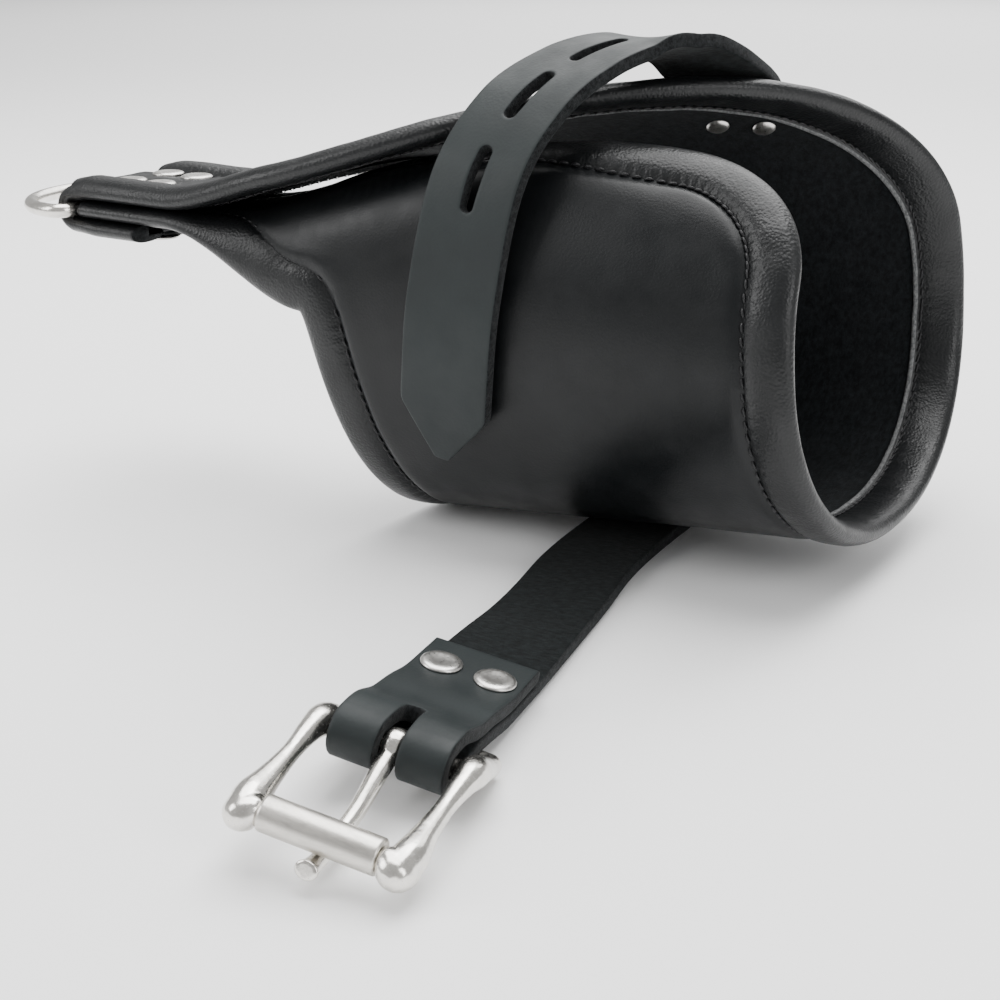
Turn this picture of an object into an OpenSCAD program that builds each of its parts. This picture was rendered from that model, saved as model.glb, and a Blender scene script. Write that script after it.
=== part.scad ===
// Leather suspension cuff: a padded, bound leather panel rolled into a tube, with a riveted tail
// that carries a D-ring, and a closing strap with a roller buckle.
// X runs along the tube, from the tail's ring (-X) to the open rim (+X). +Z is up.
// The cuff lies on its closing strap, and the origin is on the surface below the tube.

/* [Panel] */
// Length of the panel from the tail's end to the open rim
panel_length = 226; // [218:1:234]
// Length of each of the two legs that form the tail
leg_length = 87; // [84:1:92]
// Width of each leg
leg_width = 46; // [44:1:50]
// How far the arch between the legs cuts on into the tube
arch_depth = 15; // [8:1:20]
// Thickness of the padded panel
panel_thick = 4.8; // [4.4:0.1:5.2]
// Width of the rolled binding along the panel's edges
binding_w = 11; // [9:0.5:12]
// Thickness of the binding where the panel is free
binding_thick = 6; // [5.4:0.2:6.4]

/* [Tube] */
// Half width of the tube where the legs begin
root_half_w = 38.5; // [37:0.5:40]
// Half height of the tube where the legs begin
root_half_h = 60; // [58:0.5:62]
// Half width of the tube at the open rim
rim_half_w = 54; // [52:0.5:56]
// Half height of the tube at the open rim
rim_half_h = 45.5; // [44:0.5:47]
// How far the tube leans back between its root and its rim
rim_lean = 24; // [20:1:26]
// How far the rim rises off the surface
rim_rise = 12; // [11:0.5:13]

/* [Closing strap] */
// Width of the closing strap
strap_w = 25; // [24:0.5:26]
// Thickness of the closing strap
strap_thick = 3.5; // [3:0.1:3.6]
// Length of each adjusting slot
slot_len = 16; // [14:1:18]
// Width of each adjusting slot
slot_w = 3.6; // [3.5:0.1:4]

/* [Metal] */
// Wire diameter of the D-ring
ring_wire = 4; // [3.8:0.1:4.2]
// Diameter of a rivet's cap
cap_d = 9.6; // [9:0.1:10]
// Distance from the buckle's centre bar to its roller
roller_reach = 29; // [28:0.5:31]
// Outer diameter of the buckle's roller
roller_d = 7; // [6.6:0.1:7.2]

/* [Hidden] */
$fn = 48;
leather = [0.09, 0.1, 0.11];
suede = [0.16, 0.16, 0.17];
strap_leather = [0.2, 0.22, 0.23];
nickel = [0.72, 0.7, 0.67];

// The frame's origin, on the surface below the tube and in the middle of the strap
origin = [15, 0, 0];
module place() { translate(-origin) children(); }

// The panel's outline: x along the tube, u from edge A (0, inside) round to edge B (1, outside)
tail_x = -148;
rim_x = tail_x + panel_length;
root_x = tail_x + leg_length;
leg_start_x = tail_x + 9.6;
edge_a_root = 32;
edge_a_rim = 29;
edge_b_root = 382;
edge_b_rim = 339;
leg_angle = 62;
leg_u = leg_angle / (edge_b_root - edge_a_root);
corner_a = 35;
corner_b = 51;
rim_bow = 6.3;
rim_length = (rim_half_w + rim_half_h) / 2 * 1.13 * (edge_b_rim - edge_a_rim) * PI / 180;

// The tube's section: a growing oval, flattened where it rests
spread_root = 0.35;
spread_rim = 0.27;
squareness = 0.92;
rest_press = 2.2;
rest_soft = 4;
rest_height = 1.95;

// The tail: two flat legs on each other
tail_front_y = -46;
tail_z = 85.5;
leg_gap = 5.3;
clamped_x = tail_x + 41.5;
leg_part = 4;
free_a = 0.78;
free_b = 1.0193;
back_reach = 1.1;

// Rivets, and where they stand
cap_h = 1.3;
post_d = 3.6;
post_gap = 0.05;
tail_rivets = [
    for (x = [tail_x + 16, tail_x + 27.5]) for (side = [-1, 1])
        [x, tail_front_y + leg_width / 2 + side * 7.5]
];
strap_rivets = [[22, 0.898], [32, 0.902]];
fold_rivets = [-6.3, 6.3];

// The D-ring and the leather fold that holds it
bar_run = 0.06;
bar_x = tail_x + ring_wire / 2 + bar_run + panel_thick;
bar_z = tail_z - leg_gap / 2;
ring_r = leg_width / 2 + ring_wire / 2 + 1.6;
fold_under = 31;

// The closing strap: where its two free ends leave the cuff
strap_clear = 1.1;
floor_hinge = [22.5, -44];
floor_turn = 11;
hinge_gap = 0.6;
point_start_u = 0.945;
back_start_u = 0.9335;
point_route = [
    [23.9, 19.4, 126.6, 1, 0.02, 0.16], [19.8, 12.5, 129.8, 1, 0, 0.06], [12.8, 3.5, 131, 1, 0, 0],
    [5.5, -10, 127.4, 1, 0, 0], [-1, -25.5, 118.3, 1, 0, -0.04], [-5.7, -38, 101.8, 1, 0.04, 0],
    [-9.5, -43.6, 74, 1, 0.08, 0], [-12.5, -43.1, 50, 1, 0.08, 0], [-16.5, -38.8, 30, 1, 0.08, 0]
];
// The buckle end in its own frame: Y runs back along the strap, Z is up. The strap twists on its
// way to the buckle, by end_roll over twist_run, and the buckle's lower side stays off the surface.
end_roll = 9;
end_rise = 2.3;
twist_start = -6;
twist_run = 46;
bar_y = -96;
buckle_z = 9;
bar_d = 4;
loop_gap = 0.2;
loop_r = bar_d / 2 + loop_gap + strap_thick / 2;
rear_y = -83;
rear_z = 2.2;
roller_y = bar_y - roller_reach;
roller_z = 7;
side_x = strap_w / 2 + 3;
rivet_y = -61;
lap = strap_thick + 0.08;

function share(x) = min(max((x - root_x) / (rim_x - root_x), 0), 1);
function ease(t) = let (c = min(max(t, 0), 1)) c * c * (3 - 2 * c);
function mix(a, b, t) = a + (b - a) * t;
function unit(v) = v / norm(v);
function power(v) = sign(v) * pow(abs(v), squareness);

function oval(x, u) =
    let (
        c = share(x),
        first = mix(edge_a_root, edge_a_rim, c),
        angle = mix(first, mix(edge_b_root, edge_b_rim, c), u),
        half_w = mix(root_half_w, rim_half_w, c),
        half_h = mix(root_half_h, rim_half_h, c),
        spread = mix(spread_root, spread_rim, c) / 360,
        grow = 1 + spread * (angle - first),
        low = 1 + spread * (180 - first),
        z = half_h * (low + grow * power(cos(angle))) + rim_rise * c - rest_press
    )
    [
        x,
        rim_lean * c - half_w * grow * power(sin(angle)),
        rest_height + (z + sqrt(z * z + rest_soft * rest_soft)) / 2
    ];

// Share of the leg's width, from the edge (0) to the arch's side (1)
function across(u) = min(u, 1 - u) / leg_u;
function flat(x, u) = [
    x,
    tail_front_y + leg_width * (u < 0.5 ? 1 - across(u) : across(u)),
    tail_z + (u < 0.5 ? -leg_gap / 2 : leg_gap / 2 + leg_part * ease((x - clamped_x) / 35))
];
function flatness(x, u) =
    let (
        v = across(u),
        end_a = root_x + free_a * (rim_x - root_x) * (1 - min(v, 1)),
        end_b = tail_x + free_b * panel_length
    )
    u < 0.5
        ? 1 - ease((x - clamped_x) / (end_a - clamped_x))
        : (1 - ease((x - clamped_x) / (end_b - clamped_x))) * (1 - ease((v - 1) / back_reach));
function panel(x, u) = mix(oval(x, u), flat(x, u), flatness(x, u));

// The panel's outward normal
function outward(x, u) =
    let (
        du = 0.004,
        dx = 0.5,
        along_u = panel(x, min(u + du, 1)) - panel(x, max(u - du, 0)),
        along_x = panel(x + dx, u) - panel(x - dx, u)
    )
    unit(cross(along_u, along_x));

// How much the surface stretches round the tube, in mm per unit of u
function stretch(x, u) =
    let (step = u < 0.5 ? 0.01 : -0.01)
    norm(panel(x, u + step) - panel(x, u)) / 0.01;
// The point that lies on the surface at the distance s from (x, u), towards the unit vector w
function walk(x, u, w, s) =
    let (
        along_x = panel(x + 0.5, u) - panel(x - 0.5, u),
        along_u = (panel(x, min(u + 0.002, 1)) - panel(x, max(u - 0.002, 0)))
            / (min(u + 0.002, 1) - max(u - 0.002, 0)),
        e = along_x * along_x,
        f = along_x * along_u,
        g = along_u * along_u,
        p = w * along_x,
        q = w * along_u
    )
    [x, u] + s * [p * g - q * f, q * e - p * f] / (e * g - f * f);

// Where the panel starts and ends in x at each u. inset is the distance kept from the outline.
function arch_x(u, inset = 0) =
    let (v = (u - leg_u) / (1 - 2 * leg_u))
    root_x + inset + arch_depth * pow(sin(180 * min(max(v, 0), 1)), 0.7);
function corner_cut(r, s) = s < r ? r - sqrt(max(r * r - (r - s) * (r - s), 0)) : 0;
function rim_at(u, inset = 0) =
    rim_x + rim_bow * cos(360 * (u - 0.5)) - inset
    - corner_cut(corner_a - inset, u * rim_length - inset)
    - corner_cut(corner_b - inset, (1 - u) * rim_length - inset);

// A closed sheet between two offsets from the panel's middle
leg_cols = 6;
body_cols = 40;
leg_rows = 12;
body_rows = 12;
function col_u(i, x, inset) =
    let (
        edge_a = inset / stretch(x, 0),
        edge_b = inset / stretch(x, 1),
        end_a = leg_u - inset / stretch(x, leg_u),
        end_b = leg_u - inset / stretch(x, 1 - leg_u)
    )
    i <= leg_cols ? mix(edge_a, end_a, i / leg_cols)
    : i >= body_cols - leg_cols ? 1 - mix(edge_b, end_b, (body_cols - i) / leg_cols)
    : mix(end_a, 1 - end_b, (i - leg_cols) / (body_cols - 2 * leg_cols));
function row_x(i, j, inset) =
    let (
        u = i / body_cols,
        is_leg = i <= leg_cols || i >= body_cols - leg_cols,
        mid_v = (i - leg_cols) / (body_cols - 2 * leg_cols),
        start = is_leg
            ? root_x + inset
            : root_x + inset + arch_depth * pow(sin(180 * mid_v), 0.7)
    )
    j < leg_rows
        ? mix(leg_start_x, root_x + inset, j / leg_rows)
        : mix(start, rim_at(col_u(i, rim_x - 20, inset), inset), (j - leg_rows) / body_rows);
function sheet_point(i, j, inset, off) =
    let (x = row_x(i, j, inset), u = col_u(i, x, inset))
    panel(x, u) + off * outward(x, u);
// True where the cell right of column i and after row j is leather
function is_cell(i, j) =
    j >= leg_rows || i < leg_cols || i >= body_cols - leg_cols;

module sheet(low, high, inset) {
    rows = leg_rows + body_rows;
    width = body_cols + 1;
    layer = width * (rows + 1);
    points = [
        for (off = [low, high]) for (j = [0 : rows]) for (i = [0 : body_cols])
            sheet_point(i, j, inset, off)
    ];
    cells = [for (j = [0 : rows - 1]) for (i = [0 : body_cols - 1]) if (is_cell(i, j)) [i, j]];
    function at(i, j) = j * width + i;
    function solid_cell(i, j) =
        i >= 0 && j >= 0 && i < body_cols && j < rows && is_cell(i, j);
    faces = [
        for (c = cells) let (a = at(c[0], c[1]), b = a + 1, d = a + width, e = d + 1)
            each [
                [a, b, e], [a, e, d],
                [layer + a, layer + e, layer + b], [layer + a, layer + d, layer + e]
            ],
        for (c = cells) let (a = at(c[0], c[1]), b = a + 1, d = a + width, e = d + 1) each [
            if (!solid_cell(c[0], c[1] - 1)) each wall(a, b, layer),
            if (!solid_cell(c[0], c[1] + 1)) each wall(e, d, layer),
            if (!solid_cell(c[0] - 1, c[1])) each wall(d, a, layer),
            if (!solid_cell(c[0] + 1, c[1])) each wall(b, e, layer)
        ]
    ];
    polyhedron(points, faces);
}
function wall(p, q, layer) = [[q, p, layer + p], [q, layer + p, layer + q]];

// A closed body swept through rings of points that all have the same count
module sweep(rings) {
    n = len(rings[0]);
    last = (len(rings) - 1) * n;
    faces = [
        for (r = [0 : len(rings) - 2]) for (k = [0 : n - 1])
            let (a = r * n + k, b = r * n + (k + 1) % n)
            each [[a, b, b + n], [a, b + n, a + n]],
        [for (k = [0 : n - 1]) n - 1 - k],
        [for (k = [0 : n - 1]) last + k]
    ];
    polyhedron([for (ring = rings) each ring], faces);
}
function way(path, i) =
    unit(place_of(path[min(i + 1, len(path) - 1)]) - place_of(path[max(i - 1, 0)]));
// A smooth path through chosen points, with steps points between two of them. A point is three
// numbers, or six for a strap: its place, and roughly the direction across the strap.
function smooth_path(p, steps) = [
    for (i = [0 : len(p) - 2]) for (k = [0 : steps - 1])
        let (
            a = p[max(i - 1, 0)], b = p[i], c = p[i + 1], d = p[min(i + 2, len(p) - 1)],
            t = k / steps
        )
        b + t * (c - a) / 2 + t * t * (a - 2.5 * b + 2 * c - d / 2)
            + t * t * t * (1.5 * b - 1.5 * c + (d - a) / 2),
    p[len(p) - 1]
];
function place_of(q) = [q[0], q[1], q[2]];
function side_of(q) = len(q) > 3 ? [q[3], q[4], q[5]] : [1, 0, 0];
// Across a strap that follows path, and out of its outer face
function strap_side(path, i) =
    let (t = way(path, i), side = side_of(path[i]))
    unit(side - t * (t * side));
function strap_top(path, i) = cross(way(path, i), strap_side(path, i));
function strap_ring(path, i, half_w) =
    let (
        p = place_of(path[i]),
        w = strap_side(path, i) * half_w,
        t = strap_top(path, i) * strap_thick / 2
    )
    [p - w - t, p - w + t, p + w + t, p + w - t];

// Turns a part from +Z to the direction n and moves it to p
module aim(p, n) {
    translate(p) rotate([0, acos(n[2] / norm(n)), atan2(n[1], n[0])]) children();
}
module cap() {
    rotate_extrude($fn = 32)
        polygon([
            [0, 0], [cap_d / 2 - 0.3, 0], [cap_d / 2, 0.4],
            for (a = [20 : 14 : 90]) [cap_d / 2 * cos(a), 0.4 + cap_h * sin(a)]
        ]);
}

// Outline points as [x, u], without the tail's end
function corner_u(r, t) = (r - r * cos(t)) / rim_length;
outer_line = [
    for (k = [0 : 22]) [mix(leg_start_x, rim_at(0), k / 22), 0],
    for (t = [18 : 12 : 90]) let (u = corner_u(corner_a, t)) [rim_at(u), u],
    for (k = [1 : 21])
        let (u = mix(corner_a, rim_length - corner_b, k / 22) / rim_length) [rim_at(u), u],
    for (t = [90 : -10 : 10]) let (u = 1 - corner_u(corner_b, t)) [rim_at(u), u],
    for (k = [22 : -1 : 0]) [mix(leg_start_x, rim_at(1), k / 22), 1]
];
arch_line = [
    for (k = [0 : 8]) [mix(leg_start_x, root_x, k / 9), 1 - leg_u],
    for (k = [0 : 24]) let (u = mix(1 - leg_u, leg_u, (1 - cos(7.5 * k)) / 2)) [arch_x(u), u],
    for (k = [8 : -1 : 0]) [mix(leg_start_x, root_x, k / 9), leg_u]
];
// The roll's section: [distance from the edge, offset] as shares of its width and half thickness
binding_shape = [
    [1, -0.8], [1, 0.8], [0.5, 1], [0.15, 0.75], [0, 0], [0.15, -0.75], [0.5, -1]
];
function binding_ring(line, i) =
    let (
        x = line[i][0],
        u = line[i][1],
        middle = [for (q = line) panel(q[0], q[1])],
        inward = unit(cross(way(middle, i), outward(x, u))),
        half = mix(panel_thick, binding_thick, ease((x - clamped_x) / 45)) / 2
    )
    [
        for (q = binding_shape)
            let (at = walk(x, u, inward, q[0] * binding_w))
            panel(at[0], at[1]) + half * q[1] * outward(at[0], at[1])
    ];

module drilled() {
    difference() {
        children();
        tail_posts(post_d + 2 * post_gap);
        strap_posts(post_d + 2 * post_gap);
    }
}
module tail_posts(d) {
    for (q = tail_rivets)
        translate([q[0], q[1], bar_z - 2 * panel_thick]) cylinder(d = d, h = 4 * panel_thick);
}
module strap_posts(d) {
    for (q = strap_rivets)
        aim(panel(q[0], q[1]), outward(q[0], q[1]))
            translate([0, 0, -panel_thick]) cylinder(d = d, h = 2.5 * panel_thick);
}

module outer_shell() { color(leather) place() drilled() sheet(0.7, panel_thick / 2, binding_w + 0.5); }
module foam_core() { color([0.25, 0.25, 0.27]) place() drilled() sheet(-1, 0.6, binding_w + 0.5); }
module lining() { color(suede) place() drilled() sheet(-panel_thick / 2, -1.1, binding_w + 0.5); }
module edge_binding() {
    color(leather) place() for (line = [outer_line, arch_line])
        sweep([for (i = [0 : len(line) - 1]) binding_ring(line, i)]);
}

// The outer leg's end, turned round the D-ring's bar and back below the inner leg
module ring_fold() {
    inner = ring_wire / 2 + bar_run;
    outer = inner + panel_thick;
    under = inner + 0.6;
    color(leather) place() difference() {
        translate([bar_x, tail_front_y + leg_width, bar_z]) rotate([90, 0, 0])
            linear_extrude(leg_width) difference() {
                union() {
                    intersection() {
                        circle(outer);
                        translate([-outer, -outer]) square([outer, 2 * outer]);
                    }
                    translate([0, inner]) square([leg_start_x - bar_x - 0.3, panel_thick]);
                    translate([0, -under - panel_thick])
                        square([fold_under - (bar_x - tail_x), panel_thick]);
                    translate([-outer * 0.7, -under - panel_thick]) square([outer * 0.7, 3]);
                }
                circle(inner);
                translate([0, -under]) square([fold_under, under + inner]);
            }
        tail_posts(post_d + 2 * post_gap);
    }
}
module d_ring() {
    color(nickel) place() translate([bar_x, tail_front_y + leg_width / 2, bar_z]) {
        rotate([90, 0, 0]) cylinder(d = ring_wire, h = 2 * ring_r, center = true);
        rotate([0, 0, 90]) rotate_extrude(angle = 180) translate([ring_r, 0]) circle(d = ring_wire);
        for (side = [-1, 1]) translate([0, side * ring_r, 0]) sphere(d = ring_wire + 0.3);
    }
}

tail_top = tail_z + leg_gap / 2 + panel_thick / 2;
tail_low = bar_z - ring_wire / 2 - bar_run - 0.6 - panel_thick;
module tail_rivet_caps() {
    color(nickel) place() for (q = tail_rivets) {
        translate([q[0], q[1], tail_top + 0.02]) cap();
        translate([q[0], q[1], tail_low - 0.02]) mirror([0, 0, 1]) cap();
    }
}
module tail_rivet_posts() {
    color(nickel) place() for (q = tail_rivets)
        translate([q[0], q[1], tail_low]) cylinder(d = post_d, h = tail_top - tail_low);
}
strap_out = panel_thick / 2 + strap_clear + strap_thick + 0.4;
module strap_rivet_caps() {
    color(nickel) place() for (q = strap_rivets) aim(panel(q[0], q[1]), outward(q[0], q[1])) {
        translate([0, 0, strap_out + 0.02]) cap();
        translate([0, 0, -panel_thick / 2 - 0.4]) mirror([0, 0, 1]) cap();
    }
}
module strap_rivet_posts() {
    color(nickel) place() for (q = strap_rivets) aim(panel(q[0], q[1]), outward(q[0], q[1]))
        translate([0, 0, -panel_thick / 2 - 0.38])
            cylinder(d = post_d, h = strap_out + panel_thick / 2 + 0.38);
}

// The strap's fixed stretch: riveted at the top, down the back and out below the tube
back_off = (panel_thick + strap_thick) / 2 + strap_clear;
function on_panel(x, u) =
    let (n = outward(x, u), side = unit([1, 0, 0] - n * n[0]))
    concat(panel(x, u) + back_off * n, side);
low = strap_thick / 2;
cos_turn = cos(floor_turn);
sin_turn = sin(floor_turn);
back_route = [
    for (k = [0 : 16]) on_panel(mix(27, 14.5, ease(k / 16)), mix(back_start_u, 0.5, k / 16)),
    [14.8, 18, low, 1, 0, 0], [15.2, 8, low, 1, 0, 0], [16.4, -10, low, 1, 0.04, 0],
    [floor_hinge[0] - 4, floor_hinge[1] + 18, low, cos_turn, 0.7 * sin_turn, 0],
    [
        floor_hinge[0] - (low + hinge_gap) * sin_turn, floor_hinge[1] + (low + hinge_gap) * cos_turn,
        low, cos_turn, sin_turn, 0
    ]
];
// The round end that a loose stretch turns on
module hinge_roll(path) {
    aim(place_of(path[0]), strap_side(path, 0))
        cylinder(d = strap_thick - 0.1, h = strap_w - 0.1, center = true);
}
module strap_back() {
    path = smooth_path(back_route, 2);
    color(strap_leather) place() difference() {
        sweep([for (i = [0 : len(path) - 1]) strap_ring(path, i, strap_w / 2)]);
        strap_posts(post_d + 2 * post_gap);
    }
}

// The pointed end, over the top and down the front
point_path = smooth_path(concat([on_panel(27, point_start_u)], point_route), 6);
function run(path, i) =
    i == 0 ? 0 : run(path, i - 1) + norm(place_of(path[i]) - place_of(path[i - 1]));
point_len = run(point_path, len(point_path) - 1);
function point_half(left) = left > 13 ? strap_w / 2 : mix(1.2, strap_w / 2, left / 13);
slot_steps = [22, 29, 36];
module slot(path, i) {
    p = place_of(path[i]);
    t = way(path, i);
    w = strap_side(path, i);
    n = strap_top(path, i);
    multmatrix([
        [t[0], w[0], n[0], p[0]], [t[1], w[1], n[1], p[1]], [t[2], w[2], n[2], p[2]], [0, 0, 0, 1]
    ])
        linear_extrude(2.4 * strap_thick, center = true) {
            square([slot_len - slot_w, slot_w], center = true);
            for (side = [-1, 1]) translate([side * (slot_len - slot_w) / 2, 0]) circle(d = slot_w);
        }
}
module strap_point_end() {
    last = len(point_path) - 1;
    color(strap_leather) place() difference() {
        union() {
            sweep([
                for (i = [0 : last])
                    strap_ring(point_path, i, point_half(point_len - run(point_path, i)))
            ]);
            hinge_roll(point_path);
        }
        for (i = slot_steps) slot(point_path, i);
    }
}

// The buckle end, in its own frame
module at_floor_hinge() {
    translate([floor_hinge[0], floor_hinge[1], 0]) rotate([0, 0, floor_turn]) children();
}
// A place in the flat strap's frame, moved by the twist, and the direction across the strap there
function twisted(q) =
    let (share = ease((twist_start - q[1]) / twist_run), a = end_roll * share)
    [
        q[0] * cos(a) + q[2] * sin(a), q[1], q[2] * cos(a) - q[0] * sin(a) + end_rise * share,
        cos(a), 0, -sin(a)
    ];
module at_buckle() {
    at_floor_hinge() translate([0, 0, end_rise]) rotate([0, end_roll, 0]) children();
}
under_route = [
    [0, 0, low], [0, -16, low], [0, -32, low], [0, -46, low], [0, -56, low + 0.6],
    [0, -66, low + 1.2], [0, -75, low + 3], [0, rear_y, low + 4.3], [0, -90, buckle_z - loop_r + 0.5]
];
over_route = [
    [0, -90.5, buckle_z + loop_r - 0.3], [0, rear_y, low + 4.3 + lap + 0.3],
    [0, -75, low + 3.3 + lap], [0, -66, low + 1.3 + lap], [0, -56, low + 0.7 + lap],
    [0, -50, low + 0.4 + lap]
];
end_path = [
    for (q = concat(
        smooth_path(under_route, 2),
        [for (a = [-90 : 15 : 90]) [0, bar_y - loop_r * cos(a), buckle_z + loop_r * sin(a)]],
        smooth_path(over_route, 2)
    )) twisted(q)
];
module fold_posts(d, from, to) {
    for (x = fold_rivets) translate([x, rivet_y, from]) cylinder(d = d, h = to - from);
}
module strap_buckle_end() {
    color(strap_leather) place() difference() {
        at_floor_hinge() {
            sweep([for (i = [0 : len(end_path) - 1]) strap_ring(end_path, i, strap_w / 2)]);
            hinge_roll(end_path);
        }
        at_buckle() {
            translate([-3.4, bar_y - 2 * loop_r, 0]) cube([6.8, 2 * loop_r + 9, 20]);
            fold_posts(post_d + 2 * post_gap, -1, 14);
        }
    }
}
fold_top = low + 1 + lap + strap_thick / 2 + 0.45;
module fold_rivet_caps() {
    color(nickel) place() at_buckle() for (x = fold_rivets) {
        translate([x, rivet_y, fold_top]) cap();
        translate([x, rivet_y, 0.05]) cylinder(d = cap_d, h = 0.5);
    }
}
module fold_rivet_posts() {
    color(nickel) place() at_buckle() fold_posts(post_d, 0.55, fold_top);
}

// A round bar between two points
module bar(p, q, d) {
    aim(p, q - p) cylinder(d = d, h = norm(q - p));
}
module buckle_frame() {
    rear = [side_x - 1, rear_y, rear_z];
    centre = [side_x, bar_y, buckle_z];
    front = [side_x, roller_y, roller_z];
    color(nickel) place() at_buckle() {
        for (side = [0, 1]) mirror([side, 0, 0]) {
            bar(rear, centre, 4.2);
            bar(centre, front, 4.6);
            translate(centre) sphere(d = 5.4);
            translate(front) sphere(d = 6.4);
            translate(rear) sphere(d = 4.3);
        }
        translate([0, bar_y, buckle_z]) rotate([0, 90, 0])
            cylinder(d = bar_d, h = 2 * side_x, center = true);
        translate([0, roller_y, roller_z]) rotate([0, 90, 0])
            cylinder(d = 3.6, h = 2 * side_x, center = true);
        translate([0, rear_y, rear_z]) rotate([0, 90, 0])
            cylinder(d = 3.8, h = 2 * side_x - 2, center = true);
    }
}
module buckle_roller() {
    color(nickel) place() at_buckle() translate([0, roller_y, roller_z]) rotate([0, 90, 0])
        difference() {
            cylinder(d = roller_d, h = strap_w - 1.4, center = true);
            cylinder(d = 3.7, h = strap_w, center = true);
        }
}
tongue_route = [
    [0, bar_y - 3.1, buckle_z - 0.4], [0, bar_y - 8, buckle_z - 2.6], [0, bar_y - 15, buckle_z - 5.8],
    [0, roller_y + 7, 2.1], [0, roller_y, 1.72], [0, roller_y - 4.5, 2.2]
];
module buckle_tongue() {
    path = smooth_path(tongue_route, 3);
    last = len(path) - 1;
    color(nickel) place() at_buckle() difference() {
        union() {
            translate([0, bar_y, buckle_z]) rotate([0, 90, 0]) cylinder(d = 7.2, h = 4.4, center = true);
            sweep([
                for (i = [0 : last])
                    let (
                        w = strap_side(path, i), n = strap_top(path, i),
                        r = i == last ? 0.9 : 1.65
                    )
                    [for (k = [0 : 9]) path[i] + r * (n * cos(36 * k) + w * sin(36 * k))]
            ]);
        }
        translate([0, bar_y, buckle_z]) rotate([0, 90, 0])
            cylinder(d = bar_d + 0.12, h = 10, center = true);
    }
}

outer_shell();
foam_core();
lining();
edge_binding();
ring_fold();
tail_rivet_caps();
tail_rivet_posts();
strap_back();
strap_rivet_caps();
strap_rivet_posts();
d_ring();
strap_point_end();
strap_buckle_end();
fold_rivet_caps();
fold_rivet_posts();
buckle_frame();
buckle_roller();
buckle_tongue();
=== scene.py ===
"""A padded leather suspension cuff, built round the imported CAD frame.

Lengths in the shape code are millimetres in the CAD source's own frame, and to_frame() turns them
into metres in the part's frame.
"""

import math

import bpy
import numpy as np
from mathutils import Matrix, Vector
from mathutils.kdtree import KDTree


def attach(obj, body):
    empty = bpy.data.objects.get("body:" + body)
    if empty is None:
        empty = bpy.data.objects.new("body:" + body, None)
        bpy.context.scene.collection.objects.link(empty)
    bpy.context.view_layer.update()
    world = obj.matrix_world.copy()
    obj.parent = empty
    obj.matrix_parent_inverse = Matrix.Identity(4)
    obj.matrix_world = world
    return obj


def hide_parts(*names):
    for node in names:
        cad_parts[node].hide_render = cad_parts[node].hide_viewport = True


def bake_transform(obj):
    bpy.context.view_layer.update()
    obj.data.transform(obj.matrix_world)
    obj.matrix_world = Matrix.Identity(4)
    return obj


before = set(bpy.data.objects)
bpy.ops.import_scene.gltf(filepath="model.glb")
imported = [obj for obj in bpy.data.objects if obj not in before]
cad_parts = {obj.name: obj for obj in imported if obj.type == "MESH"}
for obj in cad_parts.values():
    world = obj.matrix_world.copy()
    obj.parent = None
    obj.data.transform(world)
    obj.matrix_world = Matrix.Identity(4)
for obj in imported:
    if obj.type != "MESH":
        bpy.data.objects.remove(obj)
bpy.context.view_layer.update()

MM = 0.001
ORIGIN = np.array([15.0, 0.0, 0.0])
rng = np.random.default_rng(11)

# -------- the panel's surface
PANEL_THICK, BINDING_THICK = 4.8, 6.0
LEG_WIDTH, ARCH_DEPTH, ARCH_POWER = 46.0, 15.0, 0.7
ROOT_HALF = (38.5, 60.0)
RIM_HALF = (54.0, 45.5)
RIM_LEAN, RIM_RISE = 24.0, 12.0
TAIL_X, RIM_X, ROOT_X = -148.0, 78.0, -61.0
LEG_START_X = TAIL_X + 9.6
EDGE_A, EDGE_B = (32.0, 29.0), (382.0, 339.0)
LEG_U = 62.0 / (EDGE_B[0] - EDGE_A[0])
CORNER_A, CORNER_B, RIM_BOW = 35.0, 51.0, 6.3
OVAL_TO_CIRCLE = 1.13
RIM_LENGTH = (RIM_HALF[0] + RIM_HALF[1]) / 2 * OVAL_TO_CIRCLE * math.radians(EDGE_B[1] - EDGE_A[1])
SPREAD = (0.35, 0.27)
SQUARENESS, REST_PRESS, REST_SOFT, REST_HEIGHT = 0.92, 2.2, 4.0, 1.95
TAIL_FRONT_Y, TAIL_Z, LEG_GAP = -46.0, 85.5, 5.3
TAIL_MID_Y = TAIL_FRONT_Y + LEG_WIDTH / 2
# The legs lie together up to CLAMPED_X and then part by LEG_PART over LEG_PART_RUN
CLAMPED_X = TAIL_X + 41.5
LEG_PART, LEG_PART_RUN = 4.0, 35.0
FREE_A, FREE_B, BACK_REACH = 0.78, 1.0193, 1.1
# The edge at u = 0 is raised, to narrow the gap below the other leg: height, x, length, share of u
EDGE_A_LIFT, LIFT_X, LIFT_RUN, LIFT_SHARE = 1.6, -48.0, 30.0, 0.2
# Steps of the finite differences on the surface
DX, DU, STRETCH_DU = 0.5, 0.003, 0.008

# The ring's bar, and the outer leg's way round it
WIRE, BAR_RUN = 4.0, 0.06
BAR_X = TAIL_X + WIRE / 2 + BAR_RUN + PANEL_THICK
BAR_Z = TAIL_Z - LEG_GAP / 2
FOLD_R = WIRE / 2 + BAR_RUN + PANEL_THICK / 2
FOLD_TURN_X = TAIL_X + 13.0
FOLD_UNDER_X = TAIL_X + 31.0
FOLD_UNDER_Z = BAR_Z - FOLD_R - 0.6
FOLD_DROP_RUN = 9.0
FOLD_OVER = FOLD_TURN_X - BAR_X
FOLD_LENGTH = FOLD_OVER + math.pi * FOLD_R + (FOLD_UNDER_X - BAR_X)


def ease(t):
    c = np.clip(t, 0, 1)
    return c * c * (3 - 2 * c)


def mix(a, b, t):
    return a + (b - a) * t


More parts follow.
